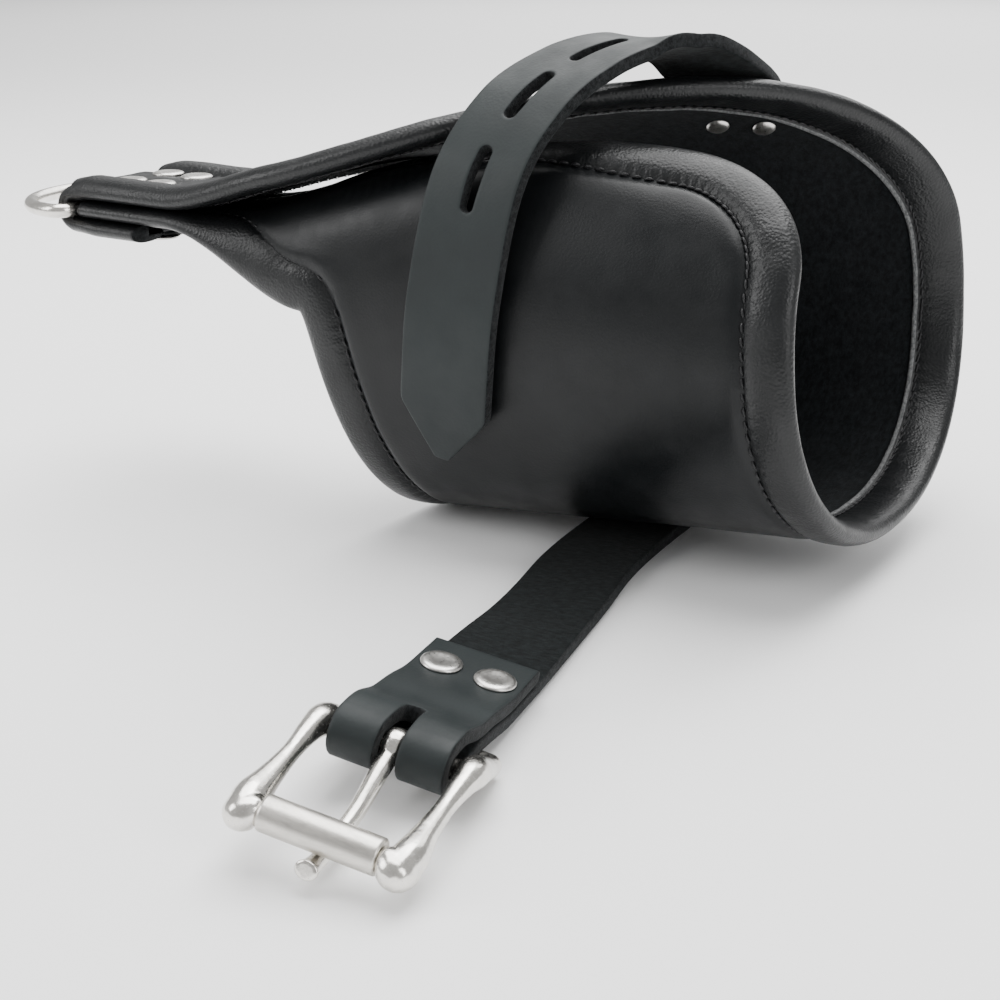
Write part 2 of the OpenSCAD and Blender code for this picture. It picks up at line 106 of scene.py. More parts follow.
def unit(v):
    return v / np.linalg.norm(v, axis=-1, keepdims=True)


def power(v):
    return np.sign(v) * np.abs(v) ** SQUARENESS


def oval(x, u):
    """The tube: an oval that changes from its root to its rim, pressed flat where it rests."""
    c = np.clip((x - ROOT_X) / (RIM_X - ROOT_X), 0, 1)
    first = mix(*EDGE_A, c)
    angle = mix(first, mix(*EDGE_B, c), u)
    half_w, half_h = mix(ROOT_HALF[0], RIM_HALF[0], c), mix(ROOT_HALF[1], RIM_HALF[1], c)
    spread = mix(*SPREAD, c) / 360
    grow, low = 1 + spread * (angle - first), 1 + spread * (180 - first)
    a = np.radians(angle)
    z = half_h * (low + grow * power(np.cos(a))) + RIM_RISE * c - REST_PRESS
    y = RIM_LEAN * c - half_w * grow * power(np.sin(a))
    return np.stack([x + 0 * u, y, REST_HEIGHT + (z + np.sqrt(z * z + REST_SOFT**2)) / 2], -1)


def across(u):
    """Place across a leg, as a share of its width from the panel's edge."""
    return np.minimum(u, 1 - u) / LEG_U


def flat(x, u):
    v = across(u)
    y = TAIL_FRONT_Y + LEG_WIDTH * np.where(u < 0.5, 1 - v, v)
    lift = LEG_GAP / 2 + LEG_PART * ease((x - CLAMPED_X) / LEG_PART_RUN)
    return np.stack([x + 0 * u, y, TAIL_Z + np.where(u < 0.5, -LEG_GAP / 2, lift)], -1)


def flatness(x, u):
    """How much of the flat tail there is in the panel's shape: 1 at the rivets, 0 at the rim."""
    v = across(u)
    end_a = ROOT_X + FREE_A * (RIM_X - ROOT_X) * (1 - np.minimum(v, 1))
    end_b = TAIL_X + FREE_B * (RIM_X - TAIL_X)
    near_a = 1 - ease((x - CLAMPED_X) / (end_a - CLAMPED_X))
    near_b = (1 - ease((x - CLAMPED_X) / (end_b - CLAMPED_X))) * (1 - ease((v - 1) / BACK_REACH))
    return np.where(u < 0.5, near_a, near_b)


def round_ring(x, u):
    """The outer leg past FOLD_TURN_X: over the ring's bar, round it and back below."""
    a = FOLD_TURN_X - x
    turn = np.clip((a - FOLD_OVER) / FOLD_R, 0, math.pi)
    back = np.maximum(a - FOLD_OVER - math.pi * FOLD_R, 0)
    over = np.minimum(a, FOLD_OVER)
    top = mix(TAIL_Z + LEG_GAP / 2, BAR_Z + FOLD_R, ease(over / FOLD_OVER))
    px = np.where(a < FOLD_OVER, FOLD_TURN_X - over, BAR_X - FOLD_R * np.sin(turn) + back)
    under = BAR_Z + FOLD_R * np.cos(turn) + (FOLD_UNDER_Z - BAR_Z + FOLD_R) * ease(back / FOLD_DROP_RUN)
    return np.stack([px, flat(x, u)[..., 1], np.where(a < FOLD_OVER, top, under)], -1)


def panel(x, u):
    x, u = np.broadcast_arrays(np.asarray(x, float), np.asarray(u, float))
    f = flatness(x, u)[..., None]
    p = oval(x, u) * (1 - f) + flat(x, u) * f
    p[..., 2] += EDGE_A_LIFT * np.exp(-(((x - LIFT_X) / LIFT_RUN) ** 2)) * (1 - ease(u / LIFT_SHARE))
    return np.where(((x < FOLD_TURN_X) & (u > 0.5))[..., None], round_ring(x, u), p)


def slopes(x, u):
    """The surface's change per mm of x and per unit of u."""
    lo, hi = np.maximum(u - DU, 0), np.minimum(u + DU, 1)
    along_u = (panel(x, hi) - panel(x, lo)) / (hi - lo)[..., None]
    return panel(x + DX, u) - panel(x - DX, u), along_u


def outward(x, u):
    x, u = np.broadcast_arrays(np.asarray(x, float), np.asarray(u, float))
    along_x, along_u = slopes(x, u)
    return unit(np.cross(along_u, along_x))


def walk(x, u, w, s):
    """(x, u) of the point at the distance s from (x, u) towards the unit vector w."""
    along_x, along_u = slopes(x, u)
    e, f, g = (along_x**2).sum(-1), (along_x * along_u).sum(-1), (along_u**2).sum(-1)
    p, q = (w * along_x).sum(-1), (w * along_u).sum(-1)
    det = e * g - f * f
    return x + s * (p * g - q * f) / det, u + s * (q * e - p * f) / det


def to_frame(points):
    return (np.asarray(points, float) - ORIGIN) * MM


# -------- outlines
EDGE_STEP = 0.9


def corner_cut(r, s):
    """How far a corner of radius r cuts the rim back, at the distance s from the edge."""
    return np.where(s < r, r - np.sqrt(np.maximum(r * r - (r - s) ** 2, 0)), 0)


def rim_at(u):
    bow = RIM_BOW * np.cos(2 * math.pi * (u - 0.5))
    cut = corner_cut(CORNER_A, u * RIM_LENGTH) + corner_cut(CORNER_B, (1 - u) * RIM_LENGTH)
    return RIM_X + bow - cut


def arch_at(u):
    v = np.clip((u - LEG_U) / (1 - 2 * LEG_U), 0, 1)
    return ROOT_X + ARCH_DEPTH * np.sin(math.pi * v) ** ARCH_POWER


def spaced(line, step=None, count=None):
    """Points (x, u) on the line again, the same distance apart on the surface."""
    p = panel(*line.T)
    run = np.concatenate([[0], np.cumsum(np.linalg.norm(np.diff(p, axis=0), axis=1))])
    n = count or int(round(run[-1] / step)) + 1
    at = np.linspace(0, run[-1], n)
    return np.stack([np.interp(at, run, line[:, k]) for k in (0, 1)], 1), at


corner_turn = np.radians(np.linspace(0.5, 90, 120))
corner_a_u = CORNER_A * (1 - np.cos(corner_turn)) / RIM_LENGTH
corner_b_u = 1 - CORNER_B * (1 - np.cos(corner_turn[::-1])) / RIM_LENGTH
middle_u = np.linspace(corner_a_u[-1], corner_b_u[0], 400)[1:-1]
rim_u = np.concatenate([corner_a_u, middle_u, corner_b_u])
rim_line = np.stack([rim_at(rim_u), rim_u], 1)
LEG_B_START_X = FOLD_TURN_X - FOLD_LENGTH


def straight(x0, x1, u, n=500):
    return np.stack([np.linspace(x0, x1, n), np.full(n, u)], 1)


outer_line = np.concatenate([
    straight(LEG_START_X, rim_line[0, 0], 0.0)[:-1],
    rim_line,
    straight(rim_line[-1, 0], LEG_B_START_X, 1.0)[1:],
])
arch_u = mix(1 - LEG_U, LEG_U, (1 - np.cos(np.linspace(0, math.pi, 500))) / 2)
arch_curve = np.stack([arch_at(arch_u), arch_u], 1)
arch_line = np.concatenate([
    straight(LEG_B_START_X, ROOT_X, 1 - LEG_U)[:-1],
    arch_curve,
    straight(ROOT_X, LEG_START_X, LEG_U)[1:],
])


def smoothed(v, n):
    """Rows of v averaged with their n neighbours on each side."""
    k = np.ones(2 * n + 1) / (2 * n + 1)
    padded = np.concatenate([np.repeat(v[:1], n, 0), v, np.repeat(v[-1:], n, 0)])
    return np.stack([np.convolve(padded[:, i], k, "valid") for i in range(v.shape[1])], 1)


def edge_frames(line):
    """Along an outline: (x, u), the run in mm, and the unit vectors towards the panel's inside."""
    xu, run = spaced(line, step=EDGE_STEP)
    along = unit(smoothed(np.gradient(panel(*xu.T), axis=0), 3))
    return xu, run, unit(np.cross(along, outward(*xu.T)))


# -------- mesh helpers
def placed(name, data):
    obj = bpy.data.objects.new(name, data)
    bpy.context.scene.collection.objects.link(obj)
    return obj


def make(name, verts, faces, materials, indexes=None, uv=None):
    """A smooth-shaded object from points in mm."""
    mesh = bpy.data.meshes.new(name)
    mesh.from_pydata([tuple(v) for v in to_frame(verts)], [], [tuple(map(int, f)) for f in faces])
    obj = placed(name, mesh)
    for material in materials if isinstance(materials, list) else [materials]:
        mesh.materials.append(material)
    mesh.polygons.foreach_set("use_smooth", [True] * len(mesh.polygons))
    if indexes is not None:
        mesh.polygons.foreach_set("material_index", np.asarray(indexes, np.int32))
    if uv is not None:
        layer = mesh.uv_layers.new(name="UVMap")
        loops = np.zeros(len(mesh.loops), np.int32)
        mesh.loops.foreach_get("vertex_index", loops)
        layer.data.foreach_set("uv", np.asarray(uv, np.float32)[loops].ravel())
    mesh.update()
    return obj


def circle(r, n):
    """n points (across, up) round a circle."""
    return [(r * math.cos(2 * math.pi * k / n), r * math.sin(2 * math.pi * k / n)) for k in range(n)]


def tube_faces(rings, n, closed_path=False):
    """Faces of a tube of rings of n points each."""
    faces = []
    for r in range(rings - (0 if closed_path else 1)):
        a, b = r * n, ((r + 1) % rings) * n
        faces += [(a + k, a + (k + 1) % n, b + (k + 1) % n, b + k) for k in range(n)]
    if not closed_path:
        faces += [tuple(range(n - 1, -1, -1)), tuple((rings - 1) * n + k for k in range(n))]
    return faces


def catmull(p, steps):
    """A smooth curve through the rows of p, with steps points for each row."""
    p = np.asarray(p, float)
    out = []
    for i in range(len(p) - 1):
        a, b, c, d = p[max(i - 1, 0)], p[i], p[i + 1], p[min(i + 2, len(p) - 1)]
        for k in range(steps):
            s = k / steps
            out.append(b + s * (c - a) / 2 + s * s * (a - 2.5 * b + 2 * c - d / 2)
                       + s**3 * (1.5 * b - 1.5 * c + (d - a) / 2))
    return np.array(out + [p[-1]])


def wave(p, scale, seed):
    """A smooth made-up variation, about -1 to 1, of points in mm."""
    draws = np.random.default_rng(seed)
    total = 0
    for _ in range(6):
        k = unit(draws.normal(size=3)) / scale * draws.uniform(0.7, 1.5)
        total = total + np.sin(p @ k * 2 * math.pi + draws.uniform(0, 6.3))
    return total / 3


# -------- materials
def new_material(name):
    m = bpy.data.materials.new(name)
    m.use_nodes = True
    tree = m.node_tree
    return m, tree, tree.nodes["Principled BSDF"]


def node(tree, kind, **values):
    """A new node; each value goes to the input of that name, or else to the setting."""
    n = tree.nodes.new(kind)
    for key, value in values.items():
        if key in n.inputs.keys():
            n.inputs[key].default_value = value
        else:
            setattr(n, key, value)
    return n


def noise(tree, coords, scale, detail=4.0, rough=0.55):
    n = node(tree, "ShaderNodeTexNoise", Scale=scale, Detail=detail, Roughness=rough)
    tree.links.new(coords, n.inputs["Vector"])
    return n.outputs["Fac"]


def cells(tree, coords, scale):
    n = node(tree, "ShaderNodeTexVoronoi", feature="SMOOTH_F1", Scale=scale)
    n.inputs["Smoothness"].default_value = 0.6
    n.inputs["Randomness"].default_value = 1.0
    tree.links.new(coords, n.inputs["Vector"])
    return n.outputs["Distance"]


def ramp(tree, fac, low, high):
    """Maps fac from low[0]..high[0] to low[1]..high[1]."""
    n = node(tree, "ShaderNodeMapRange")
    for key, v in (("From Min", low[0]), ("From Max", high[0]), ("To Min", low[1]), ("To Max", high[1])):
        n.inputs[key].default_value = v
    tree.links.new(fac, n.inputs["Value"])
    return n.outputs["Result"]


def colour_by(tree, shader, fac, low, high, dark, light):
    """The base colour goes from dark to light as fac goes from low to high."""
    share = ramp(tree, fac, (low, 0), (high, 1))
    n = node(tree, "ShaderNodeMix", data_type="RGBA")
    n.inputs["A"].default_value, n.inputs["B"].default_value = (*dark, 1), (*light, 1)
    tree.links.new(share, n.inputs["Factor"])
    tree.links.new(n.outputs["Result"], shader.inputs["Base Color"])


def bumps(tree, shader, layers):
    """layers are (height, strength, distance in mm), coarse first."""
    last = None
    for height, strength, depth in layers:
        n = node(tree, "ShaderNodeBump", Strength=strength, Distance=depth * MM)
        tree.links.new(height, n.inputs["Height"])
        if last:
            tree.links.new(last, n.inputs["Normal"])
        last = n.outputs["Normal"]
    tree.links.new(last, shader.inputs["Normal"])


def coordinates(tree, uv=False, scale=(1, 1, 1)):
    out = node(tree, "ShaderNodeTexCoord").outputs["UV" if uv else "Object"]
    if scale == (1, 1, 1):
        return out
    m = node(tree, "ShaderNodeMapping")
    m.inputs["Scale"].default_value = scale
    tree.links.new(out, m.inputs["Vector"])
    return m.outputs["Vector"]


def leather(name, dark, light, rough, grain, grain_size, crease=0.2, uv=False, gloss=0.32):
    """Smooth side of leather: pores, fine creases, uneven shine."""
    m, tree, shader = new_material(name)
    c = coordinates(tree, uv)
    cloud = noise(tree, c, 38, 5)
    fine = noise(tree, c, 900 / grain_size, 3)
    pores = cells(tree, c, 1000 / grain_size)
    folds = noise(tree, c, 170, 6, 0.65)
    colour_by(tree, shader, cloud, 0.3, 0.72, dark, light)
    tree.links.new(ramp(tree, noise(tree, c, 95, 4), (0.3, rough - 0.07), (0.7, rough + 0.09)),
                   shader.inputs["Roughness"])
    shader.inputs["Specular IOR Level"].default_value = gloss
    bumps(tree, shader, [(folds, crease, 0.35), (pores, grain, 0.16), (fine, grain, 0.09)])
    return m


def flesh(name, dark, light, size, uv=False, sheen=0.25):
    """Rough side of leather: matted fibres and blotches."""
    m, tree, shader = new_material(name)
    c = coordinates(tree, uv)
    blotch = noise(tree, c, 150 / size, 6, 0.7)
    fibre = noise(tree, coordinates(tree, uv, (1, 0.45, 0.6)), 1100 / size, 6, 0.75)
    colour_by(tree, shader, fibre, 0.38, 0.66, dark, light)
    tree.links.new(ramp(tree, blotch, (0.3, 0.82), (0.7, 1.0)), shader.inputs["Roughness"])
    shader.inputs["Specular IOR Level"].default_value = 0.14
    shader.inputs["Sheen Weight"].default_value = sheen
    shader.inputs["Sheen Roughness"].default_value = 0.45
    bumps(tree, shader, [(blotch, 0.5, 0.6), (fibre, 0.8, 0.35)])
    return m


def metal(name, colour, rough, pits, scale=(1, 1, 1)):
    """Nickel plate on a cast or drawn surface."""
    m, tree, shader = new_material(name)
    c = coordinates(tree, scale=scale)
    cast = noise(tree, c, 210, 3)
    fine = noise(tree, c, 1500, 4, 0.7)
    darker = tuple(v * 0.82 for v in colour)
    colour_by(tree, shader, noise(tree, c, 330, 5, 0.7), 0.35, 0.6, darker, colour)
    tree.links.new(ramp(tree, fine, (0.3, rough - 0.05), (0.7, rough + 0.1)),
                   shader.inputs["Roughness"])
    shader.inputs["Metallic"].default_value = 1.0
    bumps(tree, shader, [(cast, pits, 0.5), (fine, pits * 0.6, 0.06)])
    return m


SMOOTH = leather("outer_leather", (0.0035, 0.0041, 0.0046), (0.0062, 0.007, 0.0077), 0.36,
                 grain=0.14, grain_size=0.6, crease=0.07, gloss=0.23)
ROLLED = leather("rolled_leather", (0.0035, 0.004, 0.0044), (0.0068, 0.0074, 0.008), 0.38,
                 grain=0.6, grain_size=0.7, crease=0.13, gloss=0.34)
STRAP = leather("strap_leather", (0.0115, 0.0148, 0.0152), (0.0165, 0.0212, 0.0217), 0.52,
                grain=0.16, grain_size=0.7, crease=0.1, uv=True, gloss=0.25)
STRAP_FLESH = flesh("strap_flesh", (0.002, 0.0026, 0.0027), (0.0105, 0.0135, 0.014), 1.3, uv=True,
                    sheen=0.04)
STRAP_EDGE = flesh("strap_edge", (0.004, 0.0045, 0.005), (0.022, 0.024, 0.025), 0.7, sheen=0.05)
RAW_EDGE = flesh("raw_edge", (0.06, 0.062, 0.063), (0.2, 0.203, 0.203), 0.6, sheen=0.05)
SUEDE = flesh("suede_lining", (0.0012, 0.0016, 0.0019), (0.0075, 0.0092, 0.0105), 1.3, sheen=0.03)
FOAM = flesh("foam", (0.02, 0.02, 0.022), (0.06, 0.06, 0.063), 1.0)
THREAD = leather("thread", (0.006, 0.006, 0.007), (0.012, 0.012, 0.013), 0.42, grain=0.5,
                 grain_size=0.5)
NICKEL = metal("nickel", (0.78, 0.755, 0.71), 0.2, 0.16)
NICKEL_WORN = metal("nickel_roller", (0.66, 0.635, 0.59), 0.34, 0.05, (0.25, 2.2, 2.2))
RIVET = metal("rivet_nickel", (0.7, 0.685, 0.655), 0.3, 0.14)

# -------- the panel and its binding
BINDING_W = 11.9
STITCH_PITCH, STITCH_LEN = 3.1, 2.5
TUCK = 6.5
TAIL_RIVETS = [(TAIL_X + x, TAIL_MID_Y + y) for x in (16, 27.5) for y in (-7.5, 7.5)]
PRESSED, PRESSED_R = 0.75, 7.5
SWOLLEN, SQUASH_RUN = 1.3, 45.0
# The sheets' offsets from the panel's middle: where they tuck in under the binding, and between them
OUTER_TUCK, INNER_TUCK, OUTER_BACK, INNER_BACK, FOAM_LOW, FOAM_HIGH = 0.9, -1.7, 0.75, -1.05, -1.0, 0.7
LEG_COLS, BODY_COLS, LEG_ROWS, BODY_ROWS = 34, 250, 90, 118
RIM_SHARE = 0.85

outer_frames = edge_frames(outer_line)
arch_frames = edge_frames(arch_line)


def inset_line(line, s):
    xu, _, inward = edge_frames(line)
    return np.stack(walk(*xu.T, inward, s), 1)


def stretch_at(x, u0):
    """mm on the surface per unit of u, on the inner side of the leg's edge at u0."""
    lo, hi = (u0, u0 + STRETCH_DU) if u0 < 0.5 else (u0 - STRETCH_DU, u0)
    return np.linalg.norm(panel(x, hi) - panel(x, lo), axis=-1) / STRETCH_DU


def panel_grid():
    """(x, u) of the sheets' points, the rows from the tail to the rim, and which cells are leather."""
    cols = np.arange(BODY_COLS + 1)
    arch_pts, _ = spaced(inset_line(arch_curve, TUCK)[::-1], count=BODY_COLS - 2 * LEG_COLS + 1)
    rim_pts, _ = spaced(inset_line(rim_line, TUCK), count=BODY_COLS + 1)

    def leg_u(i, x):
        share = np.minimum(i, BODY_COLS - i) / LEG_COLS
        a = mix(TUCK / stretch_at(x, 0.0), LEG_U - TUCK / stretch_at(x, LEG_U), share)
        b = 1 - mix(TUCK / stretch_at(x, 1.0), LEG_U - TUCK / stretch_at(x, 1 - LEG_U), share)
        return np.where(i <= LEG_COLS, a, b)

    x = np.zeros((LEG_ROWS + BODY_ROWS + 1, BODY_COLS + 1))
    u = np.zeros_like(x)
    first_x, first_u = np.zeros(BODY_COLS + 1), np.zeros(BODY_COLS + 1)
    leg = (cols <= LEG_COLS) | (cols >= BODY_COLS - LEG_COLS)
    mid = ~leg
    first_x[mid], first_u[mid] = arch_pts[1:-1, 0], arch_pts[1:-1, 1]
    side = np.where(cols <= LEG_COLS, arch_pts[0, 0], arch_pts[-1, 0])
    first_x[leg] = side[leg]
    first_u[leg] = leg_u(cols[leg], side[leg])
    start = np.where(cols <= LEG_COLS, LEG_START_X, LEG_B_START_X)
    for j in range(LEG_ROWS + 1):
        x[j] = np.where(leg, mix(start, first_x, j / LEG_ROWS), first_x)
        u[j] = np.where(leg, leg_u(cols, x[j]), first_u)
    for j in range(1, BODY_ROWS + 1):
        s = j / BODY_ROWS
        row_x, row_u = mix(first_x, rim_pts[:, 0], s), mix(first_u, rim_pts[:, 1], s)
        for e in (0, BODY_COLS):
            true_u = leg_u(np.array([e]), row_x[[e]])[0] if s < 1 else row_u[e]
            # The side columns keep their inset from the edge until just before the rim
            reach = np.clip(1 - np.abs(cols - e) / (2.0 * LEG_COLS), 0, 1)
            row_u = row_u + (true_u - row_u[e]) * reach * (1 - ease((s - RIM_SHARE) / (1 - RIM_SHARE)))
        x[LEG_ROWS + j], u[LEG_ROWS + j] = row_x, row_u
    cell = np.ones((LEG_ROWS + BODY_ROWS, BODY_COLS), bool)
    cell[:LEG_ROWS, LEG_COLS:BODY_COLS - LEG_COLS] = False
    return x, u, cell


grid_x, grid_u, grid_cell = panel_grid()
grid_p, grid_n = panel(grid_x, grid_u), outward(grid_x, grid_u)


def nearest_edge():
    """Each grid point's distance from the outlines, and the run at the outline's nearest point."""
    edges = np.concatenate([panel(*xu.T) for xu, _, _ in (outer_frames, arch_frames)])
    runs = np.concatenate([outer_frames[1], arch_frames[1]])
    tree = KDTree(len(edges))
    for i, p in enumerate(edges):
        tree.insert(p, i)
    tree.balance()
    found = [tree.find(p) for p in grid_p.reshape(-1, 3)]
    distance = np.array([d for _, _, d in found]).reshape(grid_x.shape)
    return distance, runs[[i for _, i, _ in found]].reshape(grid_x.shape)


grid_d, grid_run = nearest_edge()


def fullness(x, outside=False):
    """Half thickness of the binding, as a share of its free one. The rivets squash it, and above
    them it swells out over the leather."""
    least = SWOLLEN if outside else PANEL_THICK / BINDING_THICK
    return mix(least, 1.0, ease((x - CLAMPED_X) / SQUASH_RUN))


def hump(v, middle, width):
    return np.exp(-(((v - middle) / width) ** 2))


def outer_height():
    """Offset of the outer leather's face: it dips into the seam and swells beside it."""
    dip = hump(grid_d, BINDING_W, 1.25)
    swell = hump(grid_d, 16.5, 3.2)
    pull = hump(grid_d, 12.9, 1.3) * np.cos(2 * math.pi * grid_run / STITCH_PITCH)
    loose = wave(grid_p, 52, 3) * 0.22 * ease((grid_d - 14) / 12) * ease((grid_x - CLAMPED_X) / 30)
    h = PANEL_THICK / 2 - 1.15 * dip + 0.16 * swell + 0.1 * pull + loose
    for x, y in TAIL_RIVETS:
        away = ((grid_p[..., 0] - x) ** 2 + (grid_p[..., 1] - y) ** 2) / PRESSED_R**2
        h = h - PRESSED * np.exp(-(away**2)) * (grid_u > 0.5) * (grid_p[..., 2] > TAIL_Z)
    return np.where(grid_d < BINDING_W - 0.3, OUTER_TUCK, h)


def inner_height():
    h = -PANEL_THICK / 2 + 0.12 * wave(grid_p, 30, 5)
    return np.where(grid_d < BINDING_W + 0.8, INNER_TUCK, h)


def sheet(name, low, high, materials, step=1):
    """A closed sheet between two offsets from the panel's middle."""
    rows, cols = grid_x[::step, ::step].shape
    cell = grid_cell[::step, ::step]
    points = [
        (grid_p + np.broadcast_to(h, grid_x.shape)[..., None] * grid_n)[::step, ::step].reshape(-1, 3)
        for h in (low, high)
    ]
    layer = rows * cols
    faces = []
    for j, i in np.argwhere(cell):
        a = j * cols + i
        b, d, e = a + 1, a + cols, a + cols + 1
        faces += [(a, b, e, d), (layer + a, layer + d, layer + e, layer + b)]
        for dj, di, p, q in ((-1, 0, a, b), (1, 0, e, d), (0, -1, d, a), (0, 1, b, e)):
            y, x = j + dj, i + di
            if not (0 <= y < rows - 1 and 0 <= x < cols - 1 and cell[y, x]):
                faces.append((q, p, layer + p, layer + q))
    verts = np.concatenate(points)
    used = np.unique(np.array([v for f in faces for v in f]))
    index = np.full(len(verts), -1)
    index[used] = np.arange(len(used))
    return make(name, verts[used], [[index[v] for v in f] for f in faces], materials)


outer_leather = sheet("outer_leather", OUTER_BACK, outer_height(), SMOOTH)
lining = sheet("suede_lining", inner_height(), INNER_BACK, SUEDE)
foam = sheet("foam_pad", FOAM_LOW, FOAM_HIGH, FOAM, step=2)

# The roll's section: (distance from the edge, offset). It starts in the outer seam, runs round
# the edge and ends as a cut edge on the inner face.
ROLL = np.array([
    (12.3, 1.1), (11.75, 1.35), (11.2, 1.75), (10.4, 2.3), (9.3, 2.75), (7.9, 3.0), (6.3, 3.1),
    (4.8, 3.08), (3.5, 2.95), (2.4, 2.66), (1.5, 2.22), (0.8, 1.66), (0.3, 0.98), (0.05, 0.25),
    (0.08, -0.5), (0.42, -1.22), (1.0, -1.88), (1.8, -2.4), (2.9, -2.8), (4.4, -3.02),
    (6.3, -3.1), (8.3, -3.08), (10.2, -2.95), (11.2, -2.72), (11.8, -2.62), (12.5, -2.78),
    (12.9, -3.05), (13.15, -3.2), (13.6, -3.3), (14.05, -3.2), (14.2, -2.3), (13.2, -1.7),
    (11.6, -0.4),
])
# The section's points that lie on the cut edge
RAW_FROM, RAW_TO = 26, 30


def binding(name, frames, seed):
    """The rolled binding along an outline. Lumps make it uneven, and each stitch pulls it in."""
    xu, run, inward = frames
    pulls = np.cos(2 * math.pi * run / STITCH_PITCH)
    edge_x, edge_u = xu.T
    full = fullness(edge_x)
    full_out = np.where((edge_u > 0.5) & (edge_x > TAIL_X + 7), fullness(edge_x, True), full)
    edge = panel(edge_x, edge_u)
    lump = 1 + 0.035 * wave(edge, 26, seed) + 0.02 * wave(edge, 9, seed + 1)
    rings = []
    for s, h in ROLL:
        x, u = walk(edge_x, edge_u, inward, s)
        near_seam = math.exp(-(((s - 10.6) / 1.3) ** 2))
        height = h * (full_out if h > 0 else full) * (lump if abs(h) > 2 else 1)
        height -= np.sign(h) * 0.13 * near_seam * pulls
        rings.append(panel(x, u) + height[:, None] * outward(x, u))
    verts = np.stack(rings, 1).reshape(-1, 3)
    n = len(ROLL)
    faces = tube_faces(len(xu), n)
    indexes = [int(RAW_FROM <= q % n < RAW_TO) for q in range(len(faces) - 2)] + [2, 2]
    return make(name, verts, faces, [ROLLED, RAW_EDGE, STRAP_EDGE], indexes)


edge_roll = binding("edge_binding_outer", outer_frames, 21)
arch_roll = binding("edge_binding_arch", arch_frames, 31)


def picked(at, run, rows):
    return np.stack([np.interp(at, run, rows[:, k]) for k in range(3)], 1)


# A stitch's rings: (share of the length, share of the radius, height above the seam)
STITCH = [(-0.5, 0.25, -0.42), (-0.44, 0.8, -0.2), (-0.22, 1, 0.02), (0, 1.03, 0.06),
          (0.22, 1, 0.02), (0.44, 0.8, -0.2), (0.5, 0.25, -0.42)]
STITCH_SIDES, STITCH_SLANT, STITCH_JITTER = 7, 0.16, 0.04


def stitches(name, frames, s, h, r):
    """One thread stitch after another, each a short capsule that dips at both ends."""
    xu, run, inward = frames
    x, u = walk(*xu.T, inward, s)
    normal = outward(x, u)
    height = h * np.minimum(fullness(xu[:, 0]) + 0.08, 1)
    line = panel(x, u) + height[:, None] * normal
    at = np.arange(STITCH_PITCH * 1.5, run[-1] - 2, STITCH_PITCH)
    centre, top = picked(at, run, line), unit(picked(at, run, normal))
    along = unit(picked(at, run, np.gradient(line, axis=0)))
    slant = STITCH_SLANT + rng.normal(0, STITCH_JITTER, len(at))
    along = unit(along + slant[:, None] * unit(np.cross(top, along)))
    side = unit(np.cross(top, along))
    verts = np.stack([centre + along * (share * STITCH_LEN) + top * drop + (side * y + top * z) * (r * width)
                      for share, width, drop in STITCH for y, z in circle(1, STITCH_SIDES)], 1)
    one = tube_faces(len(STITCH), STITCH_SIDES)
    faces = [tuple(v + i * verts.shape[1] for v in f) for i in range(len(at)) for f in one]
    return make(name, verts.reshape(-1, 3), faces, THREAD)


# (distance from the edge, offset, thread radius)
OUTER_SEAM, INNER_SEAM = (BINDING_W, 1.62, 0.36), (11.8, -2.98, 0.3)
seams = [
    stitches("stitching_outer_edge", outer_frames, *OUTER_SEAM),
    stitches("stitching_outer_arch", arch_frames, *OUTER_SEAM),
    stitches("stitching_inner_edge", outer_frames, *INNER_SEAM),
    stitches("stitching_inner_arch", arch_frames, *INNER_SEAM),
]

for piece in [outer_leather, lining, foam, edge_roll, arch_roll, *seams]:
    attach(piece, "cuff")
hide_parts("outer_shell", "ring_fold")
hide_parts("lining")
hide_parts("foam_core")
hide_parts("edge_binding")

# -------- the closing strap
STRAP_W, STRAP_T = 25.0, 3.5
STRAP_CLEAR = 1.1
SLOT_LEN, SLOT_W, SLIT_W = 16.0, 3.6, 4.8
BACK_OFF = (PANEL_THICK + STRAP_T) / 2 + STRAP_CLEAR
FLOOR_HINGE, FLOOR_TURN = np.array([22.5, -44.0, 0.0]), math.radians(11)
POINT_U = 0.945
POINT_ROUTE = [
    (23.9, 19.4, 126.6, 1, 0.02, 0.16), (19.8, 12.5, 129.8, 1, 0, 0.06),
    (12.8, 3.5, 131, 1, 0, 0), (5.5, -10, 127.4, 1, 0, 0), (-1, -25.5, 118.3, 1, 0, -0.04),
    (-5.7, -38, 101.8, 1, 0.04, 0), (-9.5, -43.6, 74, 1, 0.08, 0),
    (-12.5, -43.1, 50, 1, 0.08, 0), (-16.5, -38.8, 30, 1, 0.08, 0),
]
BAR_Y, BUCKLE_Z, BAR_D = -96.0, 9.0, 4.0
LOOP_R = BAR_D / 2 + 0.2 + STRAP_T / 2
REAR_Y = -83.0
ROLLER_Y, ROLLER_Z = BAR_Y - 29, 7.0
RIVET_Y = -61.0
LAP = STRAP_T + 0.08
LOW = STRAP_T / 2


def turned(v):
    """Directions in the buckle end's frame, turned to where it points on the surface."""
    c, s = math.cos(FLOOR_TURN), math.sin(FLOOR_TURN)
    v = np.asarray(v, float)
    return np.stack([v[..., 0] * c - v[..., 1] * s, v[..., 0] * s + v[..., 1] * c, v[..., 2]], -1)


def at_floor_hinge(v):
    return turned(v) + FLOOR_HINGE


END_ROLL, END_RISE, TWIST_START, TWIST_RUN = 9.0, 2.3, -6.0, 46.0


